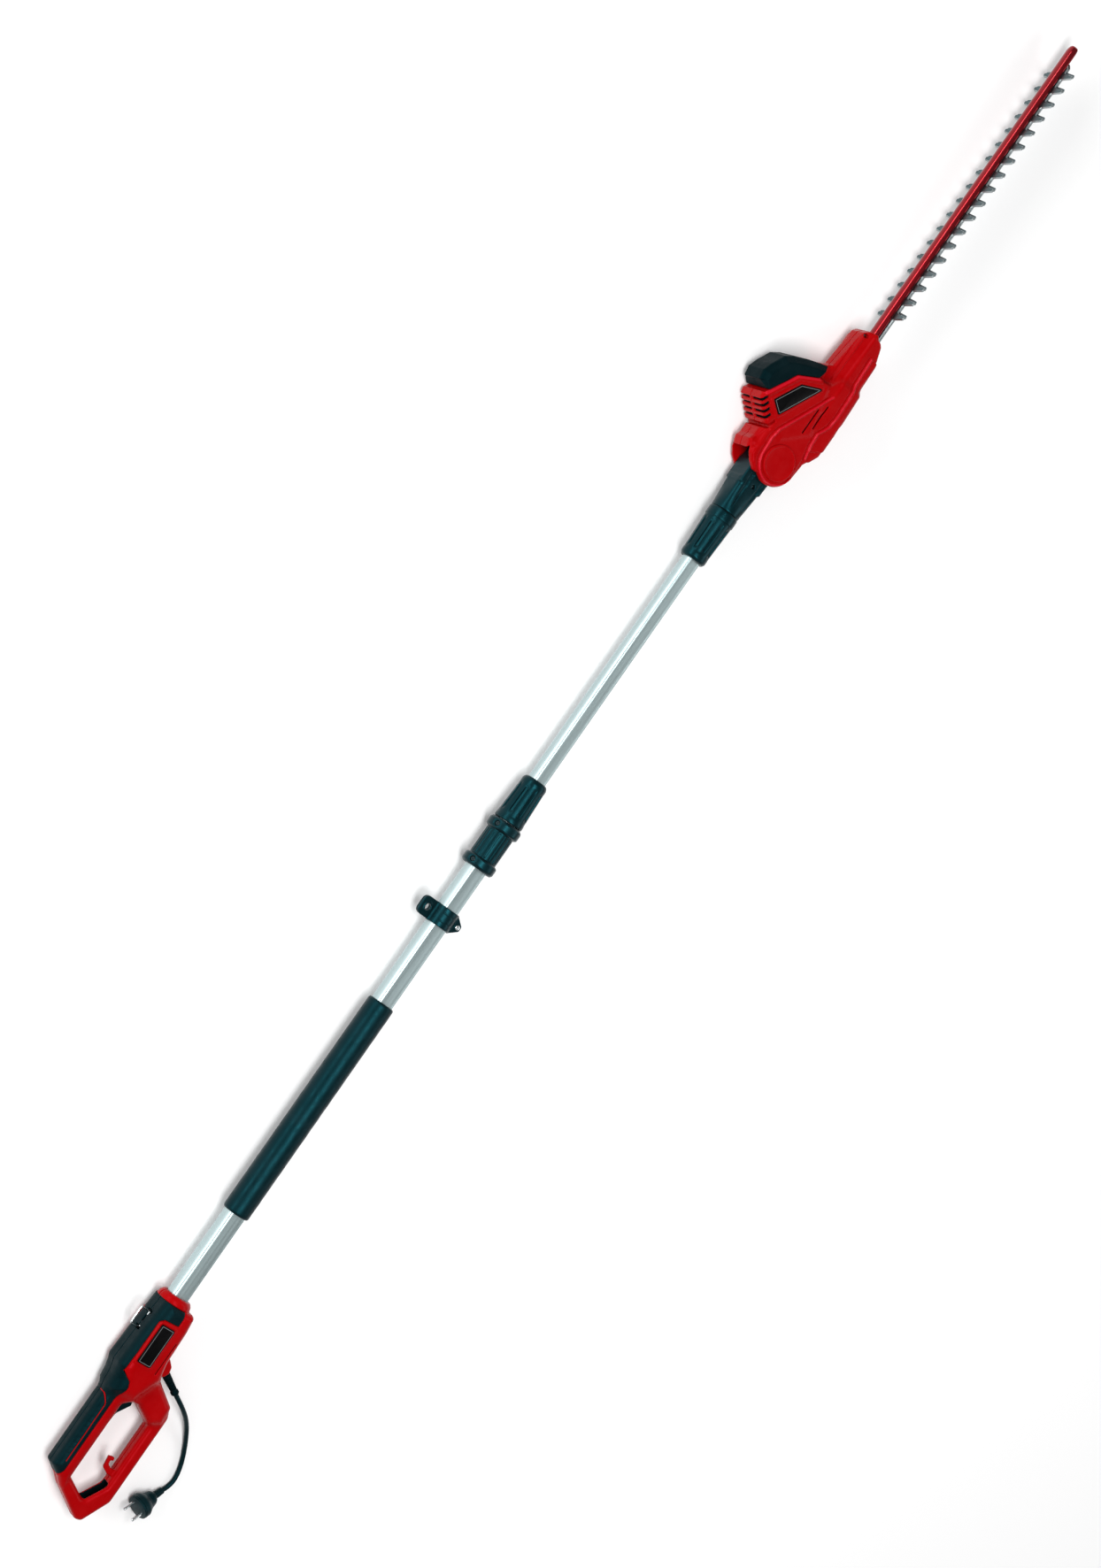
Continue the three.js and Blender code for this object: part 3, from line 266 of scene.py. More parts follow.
def round_wire(name, route, diameter, resolution):
    """A curve of round section through points of the POLE frame."""
    curve = bpy.data.curves.new(name, "CURVE")
    curve.dimensions, curve.bevel_depth, curve.bevel_resolution = "3D", diameter / 2 * MM, resolution
    curve.use_fill_caps = True
    spline = curve.splines.new("POLY")
    spline.points.add(len(route) - 1)
    for point, place in zip(spline.points, route):
        point.co = (*(Vector(place) * MM + POLE), 1)
    return new_object(name, curve)


def crisp(obj, degrees=35):
    """Ends the smooth shading at edges sharper than the given angle."""
    obj.data.set_sharp_from_angle(angle=radians(degrees))
    return obj


# --- the mains lead

EXIT = (-99, -55.5, 0)
RELIEF_DIRECTION = unit(np.array([-0.467, -0.884, 0]))
LEAD = [
    (-118.35, -92.05, 0), (-122.6, -100.2, -0.3), (-127, -108.8, -1.2), (-131.4, -117.4, -3.2),
    (-136, -126, -6.4), (-141, -134.6, -10.4), (-146.8, -143.2, -14.8), (-153.6, -151.6, -19),
    (-161.6, -159.8, -22.8), (-170.6, -167.6, -26), (-180.4, -175, -28.6), (-191, -181.6, -30),
    (-202.4, -187.2, -30.5), (-214.4, -191.4, -30.5), (-226.6, -193.8, -30.5),
    (-234.5, -193.6, -30.5), (-240.5, -192, -30.3), (-245.5, -189.6, -29.7), (-249.2, -186.8, -28.9),
]
LEAD_DIAMETER = 7
PLUG_START = Vector((-249.9, -186.2, FLOOR + 5.4)) * MM + POLE
PLUG_DIRECTION = Vector((-0.762, 0.603, 0.328)).normalized()


def smooth_route(points, steps):
    """Points of a centripetal curve through the given ones."""
    p = [np.array(q, float) for q in points]
    p = [2 * p[0] - p[1], *p, 2 * p[-1] - p[-2]]
    out = []
    for four in zip(p, p[1:], p[2:], p[3:]):
        t = np.cumsum([0, *(np.linalg.norm(v - u) ** 0.5 for u, v in zip(four, four[1:]))])
        for k in range(steps):
            s, level = t[1] + (t[2] - t[1]) * k / steps, four
            for low, high in ((t[:3], t[1:]), (t[:2], t[2:]), (t[1:2], t[2:3])):
                level = [(a * (v - s) + b * (s - u)) / (v - u)
                         for a, b, u, v in zip(level, level[1:], low, high)]
            out.append(level[0])
    out.append(p[-2])
    return out


def make_lead():
    route = smooth_route(LEAD, 3)
    length = sum(np.linalg.norm(b - a) for a, b in zip(route, route[1:])) * MM
    lead = round_wire("mains_lead", route, LEAD_DIAMETER, 5)
    return keep(lead, "power_cord", CORD), length


# --- round and drawn pieces

def turned_to(axis):
    """The turn that brings the X axis onto the given one."""
    return Vector((1, 0, 0)).rotation_difference(Vector(axis)).to_matrix().to_4x4()


def hoop(x, radius, segments):
    """A ring of points round the X axis, from Y towards Z, with one radius or one for each."""
    angles = np.arange(segments) * 2 * pi / segments
    return list(zip(np.full(segments, x), radius * np.cos(angles), radius * np.sin(angles)))


def polar(name, stations, outer, inner=None, segments=96, origin=POLE, turn=None):
    """A body round the X axis. outer and inner give the radius at (x, angle)."""
    angles = np.arange(segments) * 2 * pi / segments
    rings = [hoop(x, outer(x, angles), segments) for x in stations]
    if inner:
        rings += [hoop(x, inner(x, angles), segments) for x in (stations[-1], stations[0])]
    return mesh_piece(name, *loft(rings, caps=not inner), origin, turn)


def profile(points):
    xs, rs = zip(*points)
    return lambda x, angle: np.interp(x, xs, rs)


def steps_of(points, spacing):
    """The corners of a profile, with points between them at most a spacing apart."""
    out = []
    for (a, _), (b, _) in zip(points, points[1:]):
        if b > a:
            n = max(1, ceil((b - a) / spacing))
            out.extend(a + (b - a) * k / n for k in range(n))
        else:
            out.append(a)
    return [*out, points[-1][0]]


CORNER = 24                                # how sharp the corners of a flattened tube are


def flattened(radius, flat):
    """The radius of a tube flattened on both sides in Z, with softened corners."""
    def at(x, angle):
        side = flat / np.maximum(abs(np.sin(angle)), 1e-3)
        return (radius ** -CORNER + side ** -CORNER) ** (-1 / CORNER)
    return at


OUTER_TUBE, INNER_TUBE, TUBE_WALL = (16.75, 12.8), (13.9, 11.3), 1.2     # radius and half width


def make_tubes():
    for node, (radius, flat), start, end in (("outer_tube", OUTER_TUBE, -70, 788),
                                             ("inner_tube", INNER_TUBE, 600, 1320)):
        inset = [(start, -0.3), (start + 0.3, 0), (end - 0.3, 0), (end, -0.3)]
        full, ends = flattened(radius, flat), profile(inset)
        body = polar(node + "_drawn", [x for x, _ in inset], lambda x, a: full(x, a) + ends(x, a),
                     flattened(radius - TUBE_WALL, flat - TUBE_WALL), 120)
        keep(crisp(body), node)


def make_foam():
    ends = [(140, 17.6), (140.6, 19.2), (141.8, 20.2), (143.6, 20.7), (493.4, 20.7), (495.2, 20.2),
            (496.4, 19.2), (497, 17.6)]
    base = profile(ends)
    rng = np.random.default_rng(7)
    waves = [(rng.uniform(0.01, 0.05), rng.integers(1, 5), rng.uniform(0, 6.3), rng.uniform(0, 6.3))
             for _ in range(9)]

    def radius(x, angle):
        bumps = sum(np.sin(f * x * 6.283 + p) * np.cos(n * angle + q) for f, n, p, q in waves)
        return base(x, angle) + 0.035 * bumps - 0.05
    stations = [140, 140.3, 140.6, 141.2, 141.8, 142.7, *np.linspace(143.6, 493.4, 118), 494.3,
                495.2, 495.8, 496.4, 496.7, 497]
    keep(polar("foam_sleeve", stations, radius, flattened(17, 13.05), 72), "foam_grip")


def grooves(count, width, depth, start, end, ramp):
    """How deep a ring of lengthwise finger grooves is at (x, angle)."""
    def at(x, angle):
        along = np.clip(min(x - start, end - x) / ramp, 0, 1)
        turn = 2 * pi / count
        across = abs((angle / turn + 0.5) % 1 - 0.5) * turn
        return depth * along * np.clip((width - across) / (0.35 * width), 0, 1)
    return at


NUT_BORE = 14.3


def make_nuts():
    collar = [(806, 21.4), (806.4, 22.1), (808, 22.6), (812, 22.5), (815, 21.9), (866, 19.7),
              (868, 19.9), (872, 19.8), (875.5, 18.6), (877.4, 17.2), (878, 16)]
    union = [(1263.7, 17), (1264.4, 18.1), (1266.5, 19.4), (1268, 20.2), (1273, 20.4),
             (1276, 20), (1329.5, 22), (1331.4, 22), (1332.2, 22.9), (1333.4, 23.1),
             (1344.2, 23.1), (1345.6, 22.8), (1346.5, 21.8)]
    for node, points, start, end, depth in (("collar_nut", collar, 818, 866, 2),
                                            ("head_union_nut", union, 1277, 1328, 2.1)):
        base, cut = profile(points), grooves(9, 0.13, depth, start, end, 6)
        body = polar(node + "_ribbed", steps_of(points, 1.6), lambda x, a: base(x, a) - cut(x, a),
                     lambda x, a: NUT_BORE, 216)
        keep(crisp(body, 40), node, FITTING)


COLLAR_SCREWS, COLLAR_LEAN = (735.7, 796.5), radians(30)


def make_collar():
    points = [(727.4, 22.2), (727.8, 22.9), (729, 24.2), (730.6, 25.4), (732, 25.7), (740, 25.7),
              (741.6, 25.2), (743, 23.4), (744, 21.2), (788, 21.2), (789, 23.4), (790.4, 25.2),
              (792, 25.7), (800.6, 25.7), (802.2, 25.2), (803.6, 23.8), (804.6, 22.9), (805, 22.2)]
    base = profile(points)
    ribs = grooves(18, 0.07, 0.8, 745, 787, 2)

    def radius(x, angle):
        r = base(x, angle) - ribs(x, angle)
        for middle in COLLAR_SCREWS:
            gap = (angle - COLLAR_LEAN + pi) % (2 * pi) - pi
            away = np.hypot(x - middle, gap * 25)
            r = np.where(away < 3.9, 21.3, r)
            r = np.where((away >= 3.9) & (away < 6.6), np.minimum(r, 25.1), r)
        return r
    xs = sorted({*np.round(steps_of(points, 1), 3), *np.arange(731, 741, 0.45),
        *np.arange(791.5, 801.5, 0.45)})
    keep(crisp(polar("collar_sleeve_ribbed", xs, radius, flattened(17.05, 13.1), 288), 42),
         "collar_sleeve", FITTING)


def make_plug():
    turn = turned_to(PLUG_DIRECTION)
    points = [(0, 4), (0.8, 4.7), (2, 4.9), (15, 5.7), (16, 6.3), (18, 8.8), (21, 10.6), (26, 12),
              (31, 13.8), (34.5, 16.2), (37, 17.6), (38.6, 18.2), (44.6, 18.2), (45.2, 17.5),
              (46.2, 17.5), (46.8, 18.1), (47.6, 17.7), (48, 16.9)]
    base = profile(points)

    def radius(x, angle):
        r = base(x, angle)
        grip = np.clip(1 - abs(x - 27) / 9, 0, 1)
        r = r - 2.4 * grip * np.cos(angle) ** 8
        if 2 < x < 15:
            r = r - 0.7 * (sin(x * 2.4) > 0.1) * (abs(np.sin(angle)) > 0.35)
        return r
    body = polar("moulded_plug", steps_of(points, 0.45), radius, None, 96, PLUG_START, turn)
    keep(crisp(body, 40), "mains_plug", CORD)
    for k in (1, 2):
        pin_profile = [(40.3, 2.4), (64.5, 2.4), (65.6, 2.25), (66.4, 1.8), (66.9, 1), (67, 0.4)]
        aside = turn @ Matrix.Translation((0, 0, (9.5 if k == 1 else -9.5) * MM))
        pin = polar(f"round_pin_{k}", [x for x, _ in pin_profile], profile(pin_profile), None, 24,
                    PLUG_START, aside)
        keep(crisp(pin, 50), f"plug_pin_{k}")
    return body


def make_relief():
    """The tapered strain relief, with the slits that let the real one bend, and its end ring."""
    points = [(-7, 7.2), (-6.6, 7.5), (-0.4, 7.5), (0.2, 6.9), (1, 6.5), (33.6, 4.9), (34.4, 5.5),
              (35.4, 6), (38.6, 6), (39.8, 5.6), (40.6, 5.1), (41, 4.6)]
    base = profile(points)

    def radius(x, angle):
        r = base(x, angle)
        phase = ((x - 4) / 3.1) % 1
        if 4 < x < 32 and phase < 0.36:
            half = int((x - 4) / 3.1) % 2
            across = np.cos(angle) if half else np.sin(angle)
            r = r - 1.1 * (abs(across) > 0.3)
        return r
    turn = Matrix.Rotation(atan2(RELIEF_DIRECTION[1], RELIEF_DIRECTION[0]), 4, "Z")
    body = polar("slit_strain_relief", steps_of(points, 0.38), radius, None, 60, Vector(EXIT) * MM + POLE, turn)
    keep(crisp(body, 40), "strain_relief")


lead, lead_length = make_lead()
plug = make_plug()
make_relief()
make_tubes()
make_foam()
make_nuts()
make_collar()


# --- moulded shapes from distance fields

def rounded(corners, steps=4):
    """Corners are (x, y) or (x, y, radius); a radius rounds the corner with an arc."""
    out = []
    for i, (x, y, *more) in enumerate(corners):
        here, radius = np.array((x, y), float), sum(more)
        if not radius:
            out.append(here)
            continue
        back, ahead = (unit(np.array(corners[k][:2], float) - here) for k in (i - 1, (i + 1) % len(corners)))
        bend = acos(np.clip(back @ ahead, -1, 1)) / 2
        centre = here + unit(back + ahead) * radius / sin(bend)
        a, b = (here + way * radius / tan(bend) - centre for way in (back, ahead))
        start = atan2(a[1], a[0])
        sweep = (atan2(b[1], b[0]) - start + pi) % (2 * pi) - pi
        for t in start + sweep * np.arange(steps + 1) / steps:
            out.append(centre + radius * np.array([cos(t), sin(t)]))
    return out


def oblong(x0, y0, x1, y1, radius=0):
    return [(x0, y0, radius), (x1, y0, radius), (x1, y1, radius), (x0, y1, radius)]


def square_gap(x, y, points):
    """The squared distance to an open chain of points in XY."""
    near = np.full(np.broadcast(x, y).shape, 1e9, np.float32)
    for (ax, ay), (bx, by) in zip(points, points[1:]):
        ex, ey, wx, wy = bx - ax, by - ay, x - ax, y - ay
        t = np.clip((wx * ex + wy * ey) / (ex * ex + ey * ey), 0, 1)
        near = np.minimum(near, (wx - ex * t) ** 2 + (wy - ey * t) ** 2)
    return near


def line(x, y, points):
    return np.sqrt(square_gap(x, y, points))


def outline(x, y, corners):
    """Distance to a flat outline in XY, negative inside. Corners are as for rounded."""
    points, inside = rounded(corners), False
    loop = [*points, points[0]]
    for (ax, ay), (bx, by) in zip(loop, points[1:] + points[:1]):
        inside = inside ^ (((ay > y) != (by > y)) & (x < (bx - ax) * (y - ay) / ((by - ay) or 1e-9) + ax))
    return np.where(inside, -1, 1) * line(x, y, loop)


def both(a, b, k=0):
    """The part common to two shapes, its new edge rounded over a width k."""
    if k <= 0:
        return np.maximum(a, b)
    h = np.maximum(k - abs(a - b), 0) / k
    return np.maximum(a, b) + h * h * k / 4


def either(a, b, k=0):
    return -both(-a, -b, k)


def without(a, b, k=0):
    return both(a, -b, k)


def joined(*shapes):
    return reduce(np.minimum, shapes)


def carve(form, *cuts):
    """Takes several shapes away, each with the width over which its edge is rounded."""
    for shape, k in cuts:
        form = without(form, shape, k)
    return form


def meet(a, b):
    """Distance to the edge where the sides a and b of a shape meet."""
    return np.minimum(np.maximum(a, b), 0) + np.hypot(np.maximum(a, 0), np.maximum(b, 0))


def slab(flat, z, half, radius=0, chamfer=0):
    """A flat outline given a half width in Z, its edges rounded or chamfered."""
    side = abs(z) - half
    if chamfer:
        return both(both(flat, side), (flat + side + chamfer) * 0.7071, 1.5)
    return meet(flat + radius, side + radius) - radius


def plate(x, y, z, corners, half, radius=0):
    return slab(outline(x, y, corners), z, half, radius)


def block(x, y, z, low, high, radius=0):
    q = [abs(v - (a + b) / 2) - (b - a) / 2 + radius for v, a, b in zip((x, y, z), low, high)]
    outside = np.sqrt(sum(np.maximum(v, 0) ** 2 for v in q))
    return outside + np.minimum(np.maximum(np.maximum(q[0], q[1]), q[2]), 0) - radius


def rod(u, v, w, radius, low, high, edge=0):
    """A round bar along w between low and high."""
    return meet(np.hypot(u, v) - radius + edge, abs(w - (low + high) / 2) - (high - low) / 2 + edge) - edge


def raised(flat, width=1.4):
    """1 inside a flat outline and 0 outside it, with a slope of the given width between."""
    return np.clip(0.5 - flat / width, 0, 1)


def surface(field, start, step):
    """Where a sampled distance field is zero, with one point per cell that it passes."""
    inside, shape = field < 0, tuple(n - 1 for n in field.shape)
    corners = [(i, j, k) for i in (0, 1) for j in (0, 1) for k in (0, 1)]
    count = sum(inside[tuple(slice(a, a + n) for a, n in zip(c, shape))].astype(np.int8) for c in corners)
    cells = np.nonzero((count > 0) & (count < 8))
    number = np.full(shape, -1, np.int64)
    number[cells] = np.arange(len(cells[0]))
    values = {c: field[tuple(w + a for w, a in zip(cells, c))] for c in corners}
    total, hits = np.zeros((len(cells[0]), 3)), np.zeros((len(cells[0]), 1))
    for c in corners:
        for axis in np.nonzero(np.array(c) == 0)[0]:
            a, b = values[c], values[tuple(v + (n == axis) for n, v in enumerate(c))]
            cross = (a < 0) != (b < 0)
            t = np.where(cross, a / np.where(cross, a - b, 1), 0)
            total += (np.array(c) + t[:, None] * np.eye(3)[axis]) * cross[:, None]
            hits += cross[:, None]
    points = (total / hits + np.stack(cells, 1)) * step + start
    faces = []
    for axis in range(3):
        u, v = (axis + 1) % 3, (axis + 2) % 3
        low, high = [slice(1, -1)] * 3, [slice(1, -1)] * 3
        low[axis], high[axis] = slice(0, -1), slice(1, None)
        a = inside[tuple(low)]
        where = np.nonzero(a != inside[tuple(high)])
        quad = []
        for du, dv in ((1, 1), (0, 1), (0, 0), (1, 0)):
            index = [w + (n != axis) for n, w in enumerate(where)]
            index[u], index[v] = index[u] - du, index[v] - dv
            quad.append(number[tuple(index)])
        quad = np.stack(quad, 1)
        flip = ~a[where]
        quad[flip] = quad[flip][:, ::-1]
        faces.append(quad)
    return points, np.concatenate(faces)


def relax(points, faces):
    """Evens out the small steps that sampling leaves, without shrinking the form."""
    edges = np.concatenate([faces[:, [k, (k + 1) % 4]] for k in range(4)])
    a, b = np.concatenate([edges, edges[:, ::-1]]).T
    count = np.bincount(a, minlength=len(points))[:, None]
    for push in (0.5, -0.52) * 2:
        mean = np.stack([np.bincount(a, points[b, k], len(points)) for k in range(3)], 1)
        points = points + push * (mean / count - points)
    return points


def moulded(name, low, high, step, shape, node, origin=POLE, finish=None):
    """A piece whose form is given as a distance field over a box, in millimetres."""
    step = step * COARSE
    axes = [np.arange(a - 1.5 * step, b + 2.5 * step, step, dtype=np.float32) for a, b in zip(low, high)]
    x, y, z = np.meshgrid(*axes, indexing="ij", sparse=True)
    field = np.array(np.broadcast_to(shape(x, y, z), np.broadcast(x, y, z).shape), np.float32)
    edge = np.ones(field.shape, bool)
    edge[1:-1, 1:-1, 1:-1] = False
    field[edge] = np.maximum(field[edge], 0.5)       # closes the form where it leaves its box
    points, faces = surface(field, [a[0] for a in axes], step)
    mesh = bpy.data.meshes.new(name)
    mesh.from_pydata(relax(points, faces) * MM + np.array(origin), [], faces)
    mesh.validate()
    mesh.shade_smooth()
    obj = new_object(name, mesh)
    loose_parts_off(mesh)
    return keep(obj, node, finish)


def half(side, name, low, high, depth, step, shape, node, origin=POLE, finish=None, past=0.5):
    """One of two mirrored halves, in a box that reaches a little past the middle plane."""
    word = "near" if side > 0 else "far"
    below, above = (-past, depth) if side > 0 else (-depth, past)
    return moulded(f"{name}_{word}", (*low, below), (*high, above), step, lambda x, y, z: shape(x, y, z, side),
        f"{node}_{word}", origin, finish)


def loose_parts_off(mesh):
    """Keeps the largest connected part."""
    ends = np.empty(len(mesh.edges) * 2, np.int64)
    mesh.edges.foreach_get("vertices", ends)
    a, b = ends.reshape(-1, 2).T
    label, before = np.arange(len(mesh.vertices)), None
    while before is None or (before != label).any():
        before, low = label, np.minimum(label[a], label[b])
        label = label.copy()
        np.minimum.at(label, a, low)
        np.minimum.at(label, b, low)
        label = label[label]
    drop = np.nonzero(label != np.bincount(label).argmax())[0]
    if len(drop):
        made = bmesh.new()
        made.from_mesh(mesh)
        made.verts.ensure_lookup_table()
        bmesh.ops.delete(made, geom=[made.verts[i] for i in drop], context="VERTS")
        made.to_mesh(mesh)
        made.free()


# --- rear handle

LOOP_HOLE = [(-285, -19.5, 6), (-306, -58.5, 5), (-276, -78.5, 12), (-172, -78.5, 9), (-152, -42, 8),
    (-154, -20, 7)]
SKIN_LINE = [(-350, 1), (-291, 1), (-281, -0.8), (-137, -0.8), (-129, 3), (-120, 19), (-38, 16.5), (-32.4, 12),
    (-31, -11.4), (-9.5, -11.4), (-9.5, 60), (-350, 60)]
INLAY_LINE = [(-268, 6), (-176, 6.8), (-172.5, 8), (-162, 15.5), (-160.5, 22), (-159, 40)]
HANDLE_SCREWS = ((-303, -80), (-150, -80), (-122, -32))
LOCK_X, LOCK_Y = -186, 3                   # the lock-off button
POCKET = [(-303, -56, 2.5), (-309, -66, 2.5), (-294, -86, 2.5), (-276, -89, 2.5), (-268, -76, 2.5)]


def handle_form(x, y, z):
    """The handle's outer form with all its edges rounded."""
    ring = outline(x, y, [(-281.5, 16, 1.5), (-293.5, -3, 3), (-304, -14, 4), (-334.9, -66, 9),
        (-333.5, -76, 7), (-292, -99, 14), (-150, -99, 16), (-136, -87, 14), (-108, -42, 5), (-112, 0),
        (-140, 15.5)])
    hole = outline(x, y, LOOP_HOLE)
    grip = outline(x, y, [(-280, 16.5), (-302, -18), (-130, -18), (-130, 16.5)])
    hand = either(slab(both(ring, -hole), z, 14, 7.5), slab(both(grip, -hole), z, 19, 11), 5)
    strut = slab(both(outline(x, y, [(-158, -12), (-158, -21), (-152, -42), (-168, -74), (-160, -88),
        (-137, -87), (-109, -43), (-100, -20)]), -hole), z, 20, 8)
    body = plate(x, y, z, [(-150, 16, 6), (-134, 19.5, 14), (-115.6, 28, 16), (-60.5, 25.3), (-8.5, 21.5, 2),
        (-8.5, -29.5, 6), (-32.5, -33), (-81, -35), (-108, -41), (-150, -22)], 32, 12.5)
    crown = outline(x, y, [(-170, 16), (-150, 16), (-134, 19.5), (-115.6, 28), (-60.5, 25.3), (-8.5, 21.5),
        (12, 20), (12, -80), (-170, -80)])
    body = both(body, slab(crown, z, 32, 19))
    return either(either(hand, strut, 11), body, 15)


def handle_rim(x, y, z, more=0):
    """The round rim that the pole comes out of, with its swelling."""
    r = np.hypot(y, z)
    reach = np.interp(x, [-9.5, -7, -3, 0, 1.4, 2], [26.6, 26.4, 25.4, 23.2, 21.6, 20.4]) + more
    return both(r - reach, abs(x + 4) - 6 - more, 1)


def tube_way(x, y, z):
    radius, flat = OUTER_TUBE
    return both(both(np.hypot(y, z) - radius - 0.3, abs(z) - flat - 0.3), abs(x + 25) - 45.2)


def handle_room(x, y, z):
    """What the shells leave free for the pole, the switch and the trigger."""
    return joined(tube_way(x, y, z), block(x, y, z, (-140, -27, -27), (-73, 17, 27)),
                  block(x, y, z, (-238, -15, -12), (-138, 11, 12)),
                  block(x, y, z, (-234, -45, -7.7), (-149.3, -10, 7.7), 1), plate(x, y, z, POCKET, 8.2, 1.5))


def exit_frame(x, y):
    """Distances along and across the line that the lead leaves on."""
    dx, dy = RELIEF_DIRECTION[:2]
    return (x - EXIT[0]) * dx + (y - EXIT[1]) * dy, (y - EXIT[1]) * dx - (x - EXIT[0]) * dy


def ring_groove(x, y, z):
    return joined(block(x, y, z, (-65, 19.5, -7), (-59.6, 40, 7), 1),
                  block(x, y, z, (-38.4, 19.5, -7), (-33, 40, 7), 1),
                  block(x, y, z, (-61, 19.9, -2.2), (-37, 24.2, 2.2)))


def shell_field(x, y, z, side):
    form = handle_form(x, y, z)
    area = outline(x, y, SKIN_LINE)
    form = either(without(form, both(area - 0.3, -(form + 2.2)), 0), handle_rim(x, y, z), 1.5)
    boss = plate(x, y, z, [(-112, -38), (-104, -53.5, 4), (-96, -57.5, 4), (-87, -55, 4), (-79, -46, 4),
        (-72, -33), (-100, -28)], 11, 3)
    form = either(form, boss, 4)
    along, across = exit_frame(x, y)
    socket = rod(across, z, along, 7.8, -8, 6)
    form = carve(form, (either(socket, handle_room(x, y, z)), 0.8), (ring_groove(x, y, z), 0.5))
    seat = outline(x, y, oblong(-100.4, -11, -37.4, 14.4))
    bezel = plate(x, y, z, oblong(-103.6, -13.6, -34.6, 17, 5), 32.6, 1)
    form = either(form, both(bezel, -form - 3), 1.2)
    score = both(abs(y + 24.5) - 0.8, both(abs(x + 78) - 26, 24.8 - abs(z)))
    form = carve(form, (both(seat, 31.3 - abs(z)), 0.5), (score, 0.8))
    if side > 0:
        hook = plate(x, y, z, [(-261.5, -83, 0), (-260, -70, 3), (-254, -59, 5), (-236, -56, 2), (-235, -66, 2),
            (-240, -67, 1), (-241.5, -62.5, 1.5), (-247.5, -64, 2.5), (-251, -72, 2), (-250, -83, 0)], 5.6, 1.4)
        form = either(form, hook, 1.5)
    else:
        for a, b in HANDLE_SCREWS:
            form = without(form, rod(x - a, y - b, z, 4.3, -60, -10.2), 0.6)
        form = without(form, rod(x - LOCK_X, y - LOCK_Y, z, 6.9, -60, -9), 0.5)
    return both(form, SEAM - side * z, 0.5)


def skin_field(x, y, z, side):
    form = handle_form(x, y, z)
    area = outline(x, y, SKIN_LINE) + 0.35
    skin = both(both(form, area, 1.2), -(form + 2.4))
    skin = without(skin, either(handle_rim(x, y, z, 0.3), ring_groove(x, y, z)), 0.3)
    ribs = 0.35 * np.clip(np.sin((x + 0.45 * y) * 0.74), 0.2, 1)
    ribbed = outline(x, y, [(-262, 9), (-186, 9), (-176, 12), (-174, 13.4), (-262, 13.4)])
    skin = skin + ribs * raised(ribbed, 3) * ((x > -292) & (x < -140))
    skin = without(skin, both(line(x, y, INLAY_LINE) - 0.9, -(form + 1.1)), 0.2)
    if side < 0:
        skin = without(skin, rod(x - LOCK_X, y - LOCK_Y, z, 7, -60, 0), 0.4)
    return both(both(skin, SEAM - side * z, 0.4), -tube_way(x, y, z))


def inlay_field(x, y, z, side):
    """The thin red line let into the soft skin of the grip."""
    form = handle_form(x, y, z)
    strip = both(line(x, y, INLAY_LINE) - 0.75, np.maximum(form + 0.15, -(form + 1)), 0.2)
    if side < 0:
        strip = without(strip, rod(x - LOCK_X, y - LOCK_Y, z, 8.6, -60, 0))
    return both(strip, 0.3 - side * z)


def paint(obj, finish, inside, origin=POLE):
    """Gives a further finish to the faces whose middle lies inside a shape, used for painted shade and painted
    highlights.
    """
    mesh = obj.data
    centre = np.empty(len(mesh.polygons) * 3, np.float32)
    mesh.polygons.foreach_get("center", centre)
    x, y, z = ((centre.reshape(-1, 3) - np.array(origin)) / MM).T
    slots = np.zeros(len(mesh.polygons), np.int32)
    mesh.polygons.foreach_get("material_index", slots)
    slots[np.asarray(inside(x, y, z) < 0)] = len(mesh.materials)
    mesh.materials.append(finish)
    mesh.polygons.foreach_set("material_index", slots)


def make_handle():
    for side, _ in SIDES:
        shell = half(side, "handle_half", (-334, -100), (3.5, 29.5), 32.8, 1.15, shell_field, "handle_shell")
        # Painted shade: the faces deep in the loop pocket and in the strap ring's groove are painted black.
        paint(shell, BLACK_AND_PAINTED_SHADE, lambda x, y, z: np.minimum(
            plate(x, y, z, POCKET, 8.9) - 0.8 + (handle_form(x, y, z) > -0.9) * 9,
            both(ring_groove(x, y, z) - 1.2, 17 - y)))
        half(side, "grip_skin_half", (-294, -14), (-8, 29.5), 32.8, 0.85, skin_field, "grip_skin")
        inlay = half(side, "grip_inlay", (-272, 4), (-157, 24), 21, 0.5, inlay_field, "grip_skin", POLE, RED, 0)


def make_trigger():
    corners = [(-230, -8, 2), (-230, -17, 3), (-214, -22.5, 8), (-181, -24, 14), (-161.5, -38, 2.5),
               (-155.5, -36.5, 2.5), (-156, -14, 3)]
    moulded("trigger_blade", (-231, -39, -7.5), (-155, -7, 7.5), 0.8,
            lambda x, y, z: plate(x, y, z, corners, 7, 2.6), "trigger")

    def button(x, y, z):
        form = rod(x - LOCK_X, y - LOCK_Y, z, 6.4, -21.5, -9.7, 1.3)
        form = either(form, both(rod(x - LOCK_X, y - LOCK_Y, z, 7.5, -11.5, -9.6, 0.3), abs(y - LOCK_Y) - 7.3))
        dish = np.sqrt((x - LOCK_X) ** 2 + (y - LOCK_Y) ** 2 + (z + 30) ** 2) - 9.6
        return without(form, dish, 0.6)
    moulded("lock_button_cap", (-194, -5, -22), (-178, 11, -9), 0.45, button, "lock_off_button")


